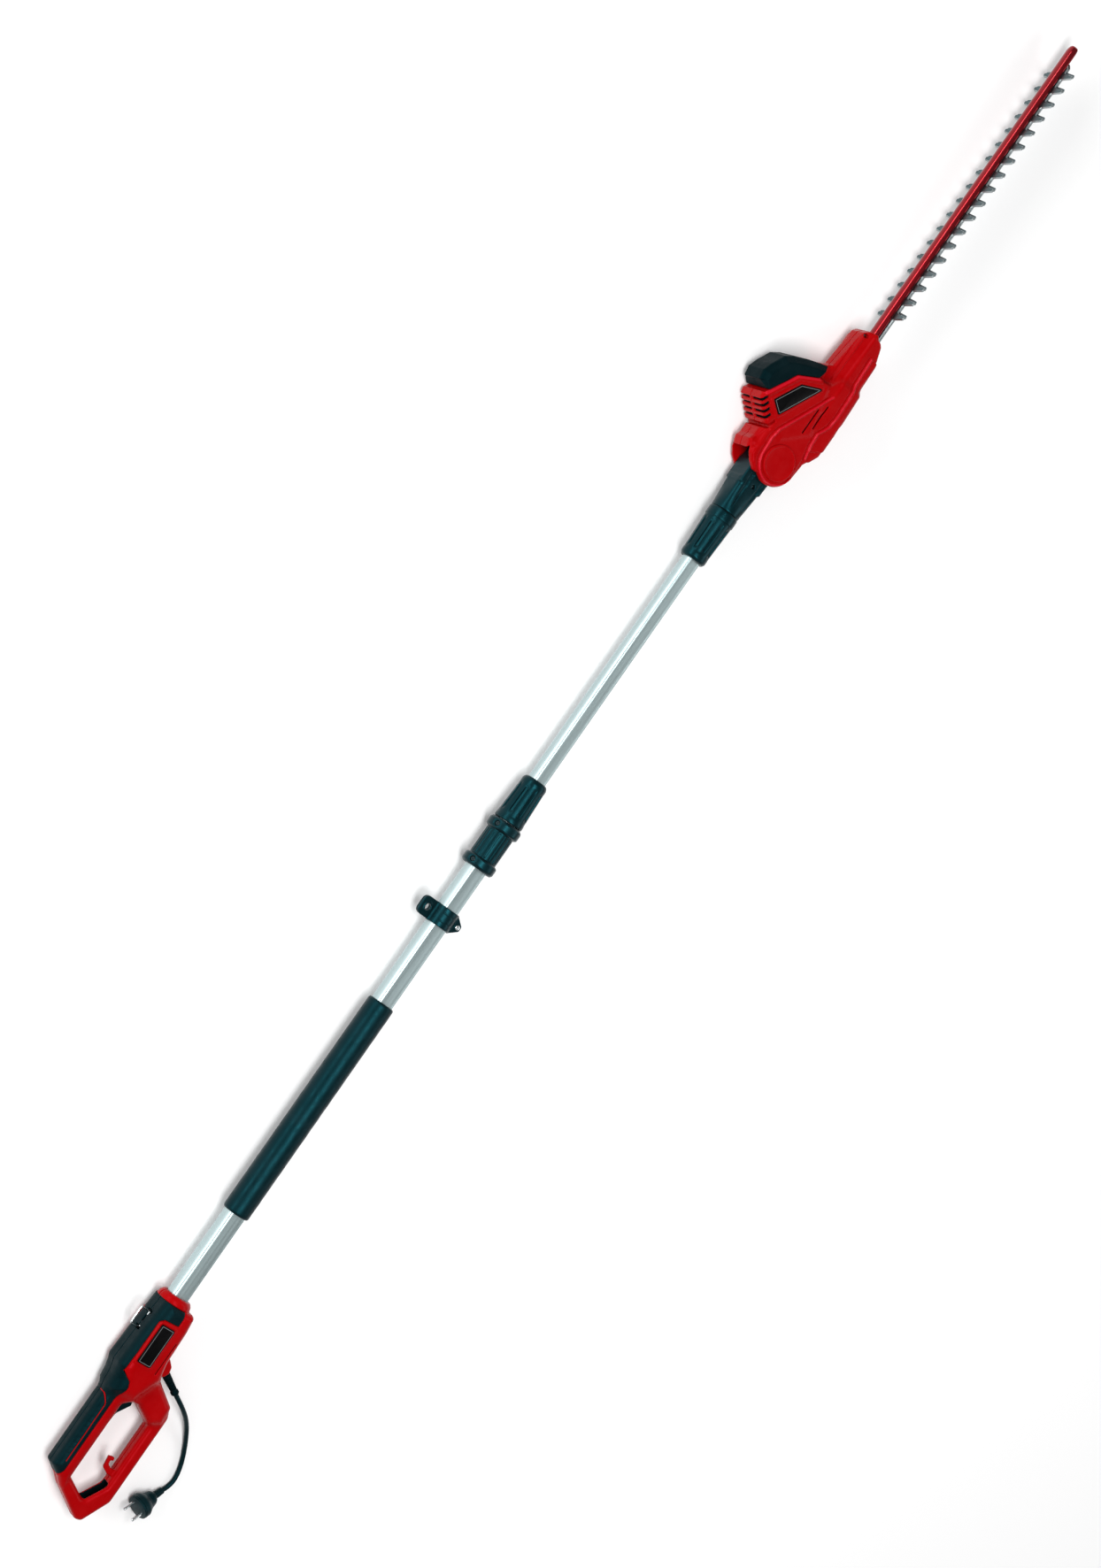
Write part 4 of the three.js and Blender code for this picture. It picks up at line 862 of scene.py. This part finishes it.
def plate_piece(name, corners, back, face, node, origin, line_inset, bevel=0.5):
    """A thin blank plate with rounded edges and a fine frame line on its outer face."""
    out = 1 if face > back else -1

    def rings(*rows):
        return [[(px, py, z) for px, py in inset_loop(corners, inset)] for inset, z in rows]
    line_end = line_inset + 0.75
    points, faces = loft(rings((0, back), (0, face - out * bevel), (bevel * 0.3, face - out * bevel * 0.35),
        (bevel, face)))
    frame_rings = rings(*((inset, face + out * rise) for inset, rise in (
        (line_inset, -0.2), (line_inset, 0.12), (line_end, 0.12), (line_end, -0.2))))
    more, frame_faces = loft(frame_rings, len(points), caps=False)
    obj = mesh_piece(name, points + more, faces + frame_faces, origin, None, (LABEL, OUTLINE),
        [0] * len(faces) + [1] * len(frame_faces))
    keep(crisp(obj, 30), node)


def inset_loop(points, inset):
    """A closed convex loop of points moved inwards by a distance."""
    pts = [np.array(p, float) for p in points]
    area = sum(a[0] * b[1] - b[0] * a[1] for a, b in zip(pts, [*pts[1:], pts[0]]))
    out = []
    for i, p in enumerate(pts):
        a, b = unit(p - pts[i - 1]), unit(pts[(i + 1) % len(pts)] - p)
        na, nb = np.array([-a[1], a[0]]), np.array([-b[1], b[0]])
        n = (na + nb) / (1 + na @ nb)
        out.append(p + n * inset * (1 if area > 0 else -1))
    return out


def make_handle_trim():
    corners = rounded(oblong(-99.5, -10, -38.3, 13.5, 2.5), 5)
    for side, word in SIDES:
        plate_piece(f"handle_plate_{word}", corners, side * 31.35, side * 33.8, f"handle_label_{word}", POLE,
            1.7)
    wire = [(-56, 22), (-60.5, 22), (-61.8, 22.4), (-62.3, 23.6), (-62.3, 36.2), (-61.8, 37.5), (-60.5, 38),
            (-37.4, 38), (-36.1, 37.5), (-35.6, 36.2), (-35.6, 23.6), (-36.1, 22.4), (-37.4, 22), (-42, 22)]
    route = smooth_route([(x, y, 0) for x, y in wire], 3)
    keep(round_wire("strap_bail", route, 3.1, 4), "strap_ring")


make_handle()
make_trigger()
make_handle_trim()


# --- pole fittings

CLAMP_X = 644                              # the strap clamp and its screw


def clamp_field(x, y, z, side):
    along = abs(x - CLAMP_X) - 14.5
    r = np.hypot(y, z)
    band = both(r - 19.5 + 0.5 * np.clip(1 - abs(abs(x - CLAMP_X) - 6) / 1.2, 0, 1), along, 1.2)
    tab = outline(x, y, [(629.5, 6), (658.5, 6), (658.5, 43.5, 8), (629.5, 43.5, 8)])
    eye = np.hypot((x - CLAMP_X) / 5.4, (y - 31) / 4.5)
    tab = both(slab(tab, z, 3.6, 1.1), (1 - eye) * 4.8, 1)
    lip = both(abs((eye - 1) * 4.8 - 1.2) - 1.3, abs(z) - 4.4, 0.6)
    lug = plate(x, y, z, [(629.5, -12), (629.5, -19, 2), (640, -33.5, 3), (648, -33.5, 3), (658.5, -19, 2),
        (658.5, -12)], 7, 1.2)
    seat = rod(x - CLAMP_X, y + 26.2, z, 5.2, -7.2, 7.2, 0.4)
    form = either(either(either(band, either(tab, lip), 2.5), lug, 2.5), seat, 0.8)
    way = both(r - 17.05, abs(z) - 13.1)
    form = carve(form, (way, 0.4), (rod(x - CLAMP_X, y + 26.2, z, 2.3, -20, 20), 0))
    return both(form, SEAM - side * z, 0.3)


def make_strap_clamp():
    for side, _ in SIDES:
        half(side, "strap_clamp_half", (629, -36), (659, 44), 20, 0.6, clamp_field, "strap_clamp",
             finish=FITTING, past=0)


PIVOT_X, PIVOT_Y = 1446, -8                # the tilt pivot in the POLE frame


def yoke_form(x, y, z):
    t = np.clip((x - 1347) / 41, 0, 1)
    circle = np.hypot(y, z) - 22.2
    square = meet(abs(y) - 12.6, abs(z) - 11) - 9
    body = both(circle * (1 - t) + square * t, abs(x - 1373.5) - 26.8, 1.6)
    tongue = plate(x, y, z, [(1393, 21.6), (1428, 21.6), *rounded([(1436, 19), (1456, 17), (1472, -4),
        (1470, -24), (1450, -34), (1438, -33)]), (1424, -23.4), (1393, -21.6)], 20, 2.4)
    eye = rod(x - PIVOT_X, y - PIVOT_Y, z, 26, -20, 20, 2.4)
    form = either(either(body, tongue, 3), eye, 3)
    form = either(form, both(np.hypot(y, z) - 17.4, abs(x - 1319) - 30))
    wedge = outline(x, y, [(1356, 8.2), (1412, 6.2), (1412, 12.6), (1382, 11)])
    form = without(form, both(wedge, 17.6 - abs(z)), 0.8)
    for rib in (7.6, 9.2, 10.8):
        form = either(form, both(both(abs(y - rib) - 0.3, wedge), abs(z) - 18.6))
    low = outline(x, y, [(1360, -9), (1408, -11), (1408, -15.5), (1366, -14.5)])
    form = without(form, both(low, 18.9 - abs(z)), 0.8)
    socket = both(both(np.hypot(y, z) - 14.2, abs(z) - 11.6), x - 1320.3)
    form = carve(form, (socket, 0), (rod(x - 1398, y + 3, z, 3.1, 12.2, 30), 0.5))
    return without(form, rod(x - PIVOT_X, y - PIVOT_Y, z, 6.3, -30, 30))


def make_yoke():
    moulded("tilt_yoke", (1288, -36, -23), (1474, 24, 23), 1, yoke_form, "head_yoke", finish=FITTING)


# --- motor head, about its tilt pivot

MOTOR_SIDE = [(158.5, 17.1), (132.8, 24.2), (114.4, 57.2), (66, 84.8)]
HEAD_PLATE = [(51, 47.2), (63.6, 68), (107, 44.2), (124, 8)]
CAP_TOP = [(72.9, 101), (88.5, 104), (102, 99), (123.7, 87.8), (132.9, 74.7), (144.2, 50.4), (150.4, 34.3)]
MOTOR_LEAN, MOTOR_FOOT = radians(30), (48, -17)
HEAD_SCREWS = ((152, -3), (128, -43.2))


def at_motor(x, y):
    """Distances across and along the motor's axis, from its foot."""
    dx, dy = x - MOTOR_FOOT[0], y - MOTOR_FOOT[1]
    s, c = sin(MOTOR_LEAN), cos(MOTOR_LEAN)
    return dx * c - dy * s, dx * s + dy * c


def arc(radius, a, b, steps):
    """Points of an arc round the tilt pivot, between two angles in degrees."""
    angles = [radians(a + (b - a) * k / steps) for k in range(steps + 1)]
    return [(radius * cos(t), radius * sin(t)) for t in angles]


def head_form(x, y, z):
    case = plate(x, y, z, [*arc(36.5, 150, 270, 16), (22, -38.5), (32.3, -44.5), (46.6, -51.6),
        (83.6, -51.6), (134, -48.6), (150, -47.5), (150, -12), (118, 12), (60, 44), (20, 47), (-14, 46),
        (-24.2, 38), (-31.4, 26.2)], 30.4, 5)
    hood = plate(x, y, z, [(-24.2, 39.3), (-15, 50.4, 3), (-6.7, 54.5, 2), (1.5, 57.9, 3), (9.7, 54.5, 2),
        (42, 55), (60, 40), (40, 10), (-20, 10), (-31.4, 26.2)], 26.5, 11)
    motor = plate(x, y, z, [(24, 20), (28, 52), (32.3, 59.5, 3), (52.8, 86.8, 3), (63, 88.8), (66, 84.8),
        (114.4, 57.2), (132.8, 24.2), (136, 0), (60, -20)], 31, 7)
    side = outline(x, y, [(110, -50), (199.6, -45.5, 7), (227.3, -34.4, 5), (239.7, -20.3, 6), (237, -8, 4),
        (229.4, -1.1, 4), (165.7, 7), (158.5, 17.1), (132.8, 24.2), (100, 30)])
    section = outline(y, z, [(30, -13), (30, 13), (8, 13), (-17, 27), (-42, 26.5), (-52, 20), (-52, -20),
        (-42, -26.5), (-17, -27), (8, -13)])
    nose = both(side, section, 4)
    return either(either(either(case, hood, 5), motor, 4), nose, 13)


def cap_form(x, y, z, lift=0):
    flat = outline(x, y, [*[(a + 0.5 * lift, b + 0.87 * lift) for a, b in MOTOR_SIDE], *CAP_TOP])
    top = outline(x, y, [(20, 60), (70, 100.2), *CAP_TOP, (165, -10), (60, -40)])
    return both(flat, slab(top, z, 29.6, 0, 9.5), 0.8)


def yoke_slot(x, y, z):
    opening = outline(x, y, [(-80, 50.8), (12, 50.8, 8), (28, 42, 8), (28, -22, 4), (16, -40), (15, -80),
        (-80, -80)])
    return slab(opening, z, 20.8, 1)


def louvres(x, y, z):
    """Cooling slots across the rear edge of the motor housing, turning onto both of its sides."""
    c, t = cos(radians(20)), sin(radians(20))
    cuts = []
    for k in range(4):
        dx, dy = x - 33.4 - 5.5 * k, y - 61.6 - 7 * k
        u, v = dx * t + dy * c, dx * c - dy * t
        reach = np.interp(abs(z), [22, 27, 40], [8, 13, 13]) / 2
        slot = both(abs(v - reach + 8) - reach - 8, 2.6 - abs(z))
        cuts.append(both(abs(u) - 2.2, slot, 1))
    return joined(*cuts)


def head_room(x, y, z):
    u, w = at_motor(x, y)
    return joined(rod(u, z, w, 27.5, 14, 130), rod(u, z, w, 11, -3, 20),
                  block(x, y, z, (40, -43, -27.6), (116, -2, 27.6)),
                  block(x, y, z, (110, -38.9, -13.2), (260, -20.6, 13.2)))


TEARDROP = [*arc(32.4, 262, 92, 22), (22, 34), (38, 32), (64, 18.5), (108, -3.5), (125, -12),
            (232, -15), (232, -60), (60, -60), (40, -28), (20, -30)]
LOWER_RIDGE = [(30, -33), (50, -27), (70, -25.5), (80, -31), (90, -35.5), (110, -36), (205, -31), (205, -70),
    (30, -70)]
RIDGES = (TEARDROP[:-5], LOWER_RIDGE[:-2], [(146, -1.5), (222, -3.5)])


def painted_highlight_faces(x, y, z):
    """The tops of the raised lines and the band along the cap, which get a painted highlight in a lighter,
    pinker red.
    """
    lines = [line(x, y, ridge) - 1.15 for ridge in RIDGES]
    return both(joined(*lines, line(x, y, MOTOR_SIDE[1:]) - 4.6), 27 - abs(z))


def head_field(x, y, z, side):
    form = head_form(x, y, z)
    drop = raised(outline(x, y, TEARDROP), 1.6)
    low = raised(outline(x, y, LOWER_RIDGE), 1.6)
    form = form - 1.5 * drop - 1.4 * low + 0.9
    below = outline(x, y, [(158.5, 9), (128, 16), (109.5, 50), (60, 78.5), (20, 78), (20, -40), (158, -40)])
    band = both(outline(x, y, MOTOR_SIDE + [(40, 75), (40, 20), (150, -10)]), -below)
    form = form - 1.5 * raised(band, 1.4)
    border = outline(x, y, [(45, 46.5, 3), (62, 73.5, 3), (110.5, 47, 3), (130, 3.5, 4)])
    form = form - 1 * raised(border, 1.2)
    for ridge in RIDGES:
        bead = 1.6 * raised(line(x, y, ridge) - 1.3, 1.6)
        groove = 1.3 * raised(line(x + 1, y - 2.9, ridge) - 0.9, 1.4)
        form = form - (bead - groove) * (abs(z) > 12)
    panel = outline(x, y, [(-8, 47, 3), (2, 53, 3), (30, 46, 3), (34, 36, 3), (10, 38, 3)])
    form = form + 0.7 * raised(panel, 1.2) * (abs(z) > 18)
    form = carve(form, (cap_form(x, y, z, -0.3) - 0.3, 0.6), (yoke_slot(x, y, z), 1.6), (head_room(x, y, z), 0))
    cover = rod(x, y, z, 27.4, 30.6, 60)
    form = carve(form, (either(cover, rod(x, y, z, 27.4, -60, -30.6)), 0.7), (rod(x, y, z, 6.4, -60, 60), 0))
    seat = outline(x, y, [(50, 47.4, 1.5), (63.3, 69.4, 1.5), (107.9, 45.1, 1.5), (125.4, 6.4, 1.5)])
    form = carve(form, (both(seat, 30.6 - abs(z)), 0.5), (louvres(x, y, z), 0.8),
        (both(block(x, y, z, (55, -4.6, -60), (97, -2.2, 60), 1.1), 24.8 - abs(z)), 1.2),
        (both(block(x, y, z, (70, -15.2, -60), (110, -12.8, 60), 1.1), 24.8 - abs(z)), 1.2))
    crease = line(x, y, [(21, 62), (27, 54), (30, 48)]) - 2.8
    form = without(form, either(crease, both(line(x, y, [(29, 50), (41, 46)]) - 1.8, 26.5 - abs(z))), 1.5)
    if side > 0:
        form = without(form, rod(x - 227, y + 6.5, z, 3.2, 8.9, 40), 0.7)
        return both(form, SEAM - z, 0.5)
    for a, b in HEAD_SCREWS:
        form = without(form, rod(x - a, y - b, z, 3.8, -60, -15), 0.6)
    form = without(form, rod(x, y, z, 9.9, -60, -26))
    return both(form, SEAM + z, 0.5)


def make_head():
    for side, _ in SIDES:
        shell = half(side, "head_half", (-37.5, -53), (241, 90), 32.8, 1, head_field, "head_shell", HEAD)
        # Painted shade: the bottoms of the louvre slots, more than 3.6 mm in, are painted black, since the
        # slots stop in the shell.
        paint(shell, BLACK_AND_PAINTED_SHADE, lambda x, y, z: np.maximum(louvres(x, y, z) - 0.25, head_form(x, y, z) + 3.6), HEAD)
        # Painted highlight: the ridge tops and the cap's band take the lighter, pinker red.
        paint(shell, RIDGE_HIGHLIGHT, painted_highlight_faces, HEAD)

    def cap(x, y, z):
        form = cap_form(x, y, z)
        u, w = at_motor(x, y)
        step = outline(x, y, [(20, 60), (64, 110), (77, 96.5), (74.5, 90), (60, 70)])
        form = form + 2.2 * raised(step, 2)
        return without(form, both(rod(u, z, w, 26.5, 14, 140), cap_form(x, y, z, -3) + 2.8))
    moulded("motor_cap_shell", (65, 16, -30.5), (160, 105, 30.5), 0.95, cap, "motor_cap", HEAD)
    make_pivot_covers()
    corners = rounded([(*p, 2) for p in HEAD_PLATE[::-1]], 4)
    for side, word in SIDES:
        plate_piece(f"head_plate_{word}", corners, side * 30.65, side * 31.9, f"head_label_{word}", HEAD, 2,
                    0.35)


def make_pivot_covers():
    """Round covers, sunk inside a raised rim. The far one has a hole for the button."""
    rim = [(30.7, 26.9), (32.6, 26.9), (33.4, 26.5), (33.8, 25.7), (33.8, 24.2), (33.3, 23.4), (33.2, 22.6)]
    hole = [(33.35, 11.4), (33.2, 10.4), (32.8, 9.8), (30.7, 9.8)]
    for (side, word), rows in zip(SIDES, ([(33.35, 12)], hole)):
        rings = [hoop(side * z, r, 96) for z, r in rim + rows]
        disc = mesh_piece(f"pivot_disc_{word}", *loft(rings, caps=side > 0), HEAD, turned_to((0, 0, 1)))
        keep(crisp(disc, 50), f"pivot_cover_{word}")

    def button(x, y, z):
        form = rod(x, y, z, 9.4, -33.6, -30.3, 0.9)
        return without(form, np.sqrt(x ** 2 + y ** 2 + (z + 52) ** 2) - 19.6, 0.8)
    moulded("tilt_button_cap", (-9.6, -9.6, -34), (9.6, 9.6, -30), 0.45, button, "tilt_lock_button", HEAD)


make_strap_clamp()
make_yoke()
make_head()


# --- cutter, about the head's pivot

GEAR_X = 77
TEETH = [281.6 + 25.4 * k for k in range(18)]
BLADE_SCREWS = (245, 395, 548, 700)


def blade_outline(shift):
    edge = [(GEAR_X - 20 + shift, 24.5, 2), (GEAR_X + 20 + shift, 24.5, 3), (GEAR_X + 32 + shift, 12, 3)]
    for tooth in TEETH:
        x = tooth + shift
        edge += [(x - 6.2, 12, 2.4), (x - 3, 32.4, 1.9), (x + 3, 32.4, 1.9), (x + 6.2, 12, 2.4)]
    tail = TEETH[-1] + 20.2 + shift
    edge += [(tail - 6, 12, 2), (tail, 6, 2)]
    return rounded([*edge, *[(p[0], -p[1], p[2]) for p in reversed(edge)]], 3)


def make_blade(node, shift, shear, face):
    """A flat blade in XZ. Its teeth are ground to an edge on the shear plane."""
    full = blade_outline(shift)
    ground = inset_loop(full, 1.25)
    slots = [rounded(oblong(x - 11, -2.9, x + 11, 2.9, 2.8)) for x in BLADE_SCREWS]
    slots.append(rounded(oblong(GEAR_X + shift - 12.4, -16.8, GEAR_X + shift + 12.4, 16.8, 5)))
    land = shear + (face - shear) * 0.3
    loops = [(full, shear), (full, land), (ground, face), *((c, y) for c in slots for y in (shear, face))]
    starts = np.cumsum([0, *(len(points) for points, _ in loops)])
    points = [(px, y, pz) for loop, y in loops for px, pz in loop]
    faces, marks = [], []
    for p, q, mark in ((0, 1, 1), (1, 2, 1), *((k, k + 1, 0) for k in range(3, len(loops), 2))):
        n, a, b = len(loops[p][0]), starts[p], starts[q]
        faces += [(a + k, a + (k + 1) % n, b + (k + 1) % n, b + k) for k in range(n)]
        marks += [mark] * n
    for flat in ([0, *range(3, len(loops), 2)], [2, *range(4, len(loops), 2)]):
        numbers = [starts[k] + i for k in flat for i in range(len(loops[k][0]))]
        triangles = tessellate_polygon([[Vector((px, pz, 0)) for px, pz in loops[k][0]] for k in flat])
        faces += [tuple(numbers[i] for i in triangle) for triangle in triangles]
        marks += [0] * len(triangles)
    keep(crisp(mesh_piece(node + "_ground", points, faces, HEAD, None, (STEEL, EDGE), marks), 25), node)


BAR_FOOT = -31.6


def make_bar():
    """The bar over the blades: a crown with a flat foot and a blunt round end."""
    segments, end = 40, 761
    tip = [(end - 12 + 12 * sin(t), max(cos(t), 0.02) ** 0.55)
           for t in np.linspace(0, pi / 2 - 0.004, 14)]
    stations = [(122, 1), *[(x, 1) for x in range(140, 740, 24)], *tip]
    rings = []
    for x, size in stations:
        ring = []
        for k in range(segments):
            t = -0.5 + k / (segments - 1) * (pi + 1)
            z = 9.7 * copysign(abs(cos(t)) ** 0.9, cos(t))
            y = 1.6 + 8.4 * sin(t)
            if sin(t) < 0:
                z, y = z * 0.98, max(1.6 + 4.2 * sin(t), 0)
            ring.append((x, BAR_FOOT + y * (0.45 + 0.55 * size), z * size))
        rings.append(ring)
    keep(crisp(mesh_piece("crowned_bar", *loft(rings), HEAD), 38), "blade_bar")


# --- screws

def make_screw(node, place, axis, head, height, shank, length, origin, finish):
    """A screw along an axis, its head below its place and its shank above."""
    turn = Matrix.Translation(Vector(place) * MM) @ turned_to(axis)
    drive = head * 0.46
    star = drive * (0.84 + 0.16 * np.cos(6 * np.arange(36) * 2 * pi / 36))
    rows = [(1.1 - height, 0.12 * drive), (1.1 - height, 0.96 * star), (0.1 - height, star),
            (-height, head * 0.84), (0.35 - height, head * 0.97), (0.9 - height, head), (0, head),
            (0, shank), (length - 0.6, shank), (length, shank * 0.5)]
    rings = [hoop(x, radius, 36) for x, radius in rows]
    keep(crisp(mesh_piece(node + "_turned", *loft(rings), origin, turn), 40), node, finish)


def make_screws():
    far, near, up = (0, 0, 1), (0, 0, -1), (0, 1, 0)
    aside, lift = cos(COLLAR_LEAN), sin(COLLAR_LEAN)
    for name, places, axis, size, origin, finish in (
        ("handle", [(x, y, -10) for x, y in HANDLE_SCREWS], far, (3.6, 3, 1.5, 16), POLE, None),
        ("collar", [(x, 21.5 * aside, 21.5 * lift) for x in COLLAR_SCREWS], (0, -aside, -lift),
         (3.5, 2.6, 1.5, 3.5), POLE, BLACKENED),
        ("strap_clamp", [(CLAMP_X, -26.2, 7.3)], near, (3.7, 2.8, 2, 19), POLE, BRIGHT),
        ("yoke", [(1398, -3, 12.3)], near, (2.6, 2.4, 1.4, 16), POLE, None),
        ("head", [(x, y, -15) for x, y in HEAD_SCREWS], far, (3.3, 2.5, 1.5, 20), HEAD, None),
        ("nose", [(227, -6.5, 9)], near, (2.7, 2.3, 1.4, 15), HEAD, None),
        ("blade", [(x, -37.6, 0) for x in BLADE_SCREWS], up, (5.5, 2.6, 1.9, 13), HEAD, BRIGHT),
    ):
        for i, place in enumerate(places, 1):
            node = f"{name}_screw_{i}" if len(places) > 1 else f"{name}_screw"
            make_screw(node, place, axis, *size, origin, finish)


make_blade("upper_blade", -1.41, -34.4, -31.9)
make_blade("lower_blade", 1.41, -34.8, -37.3)
make_bar()
make_screws()
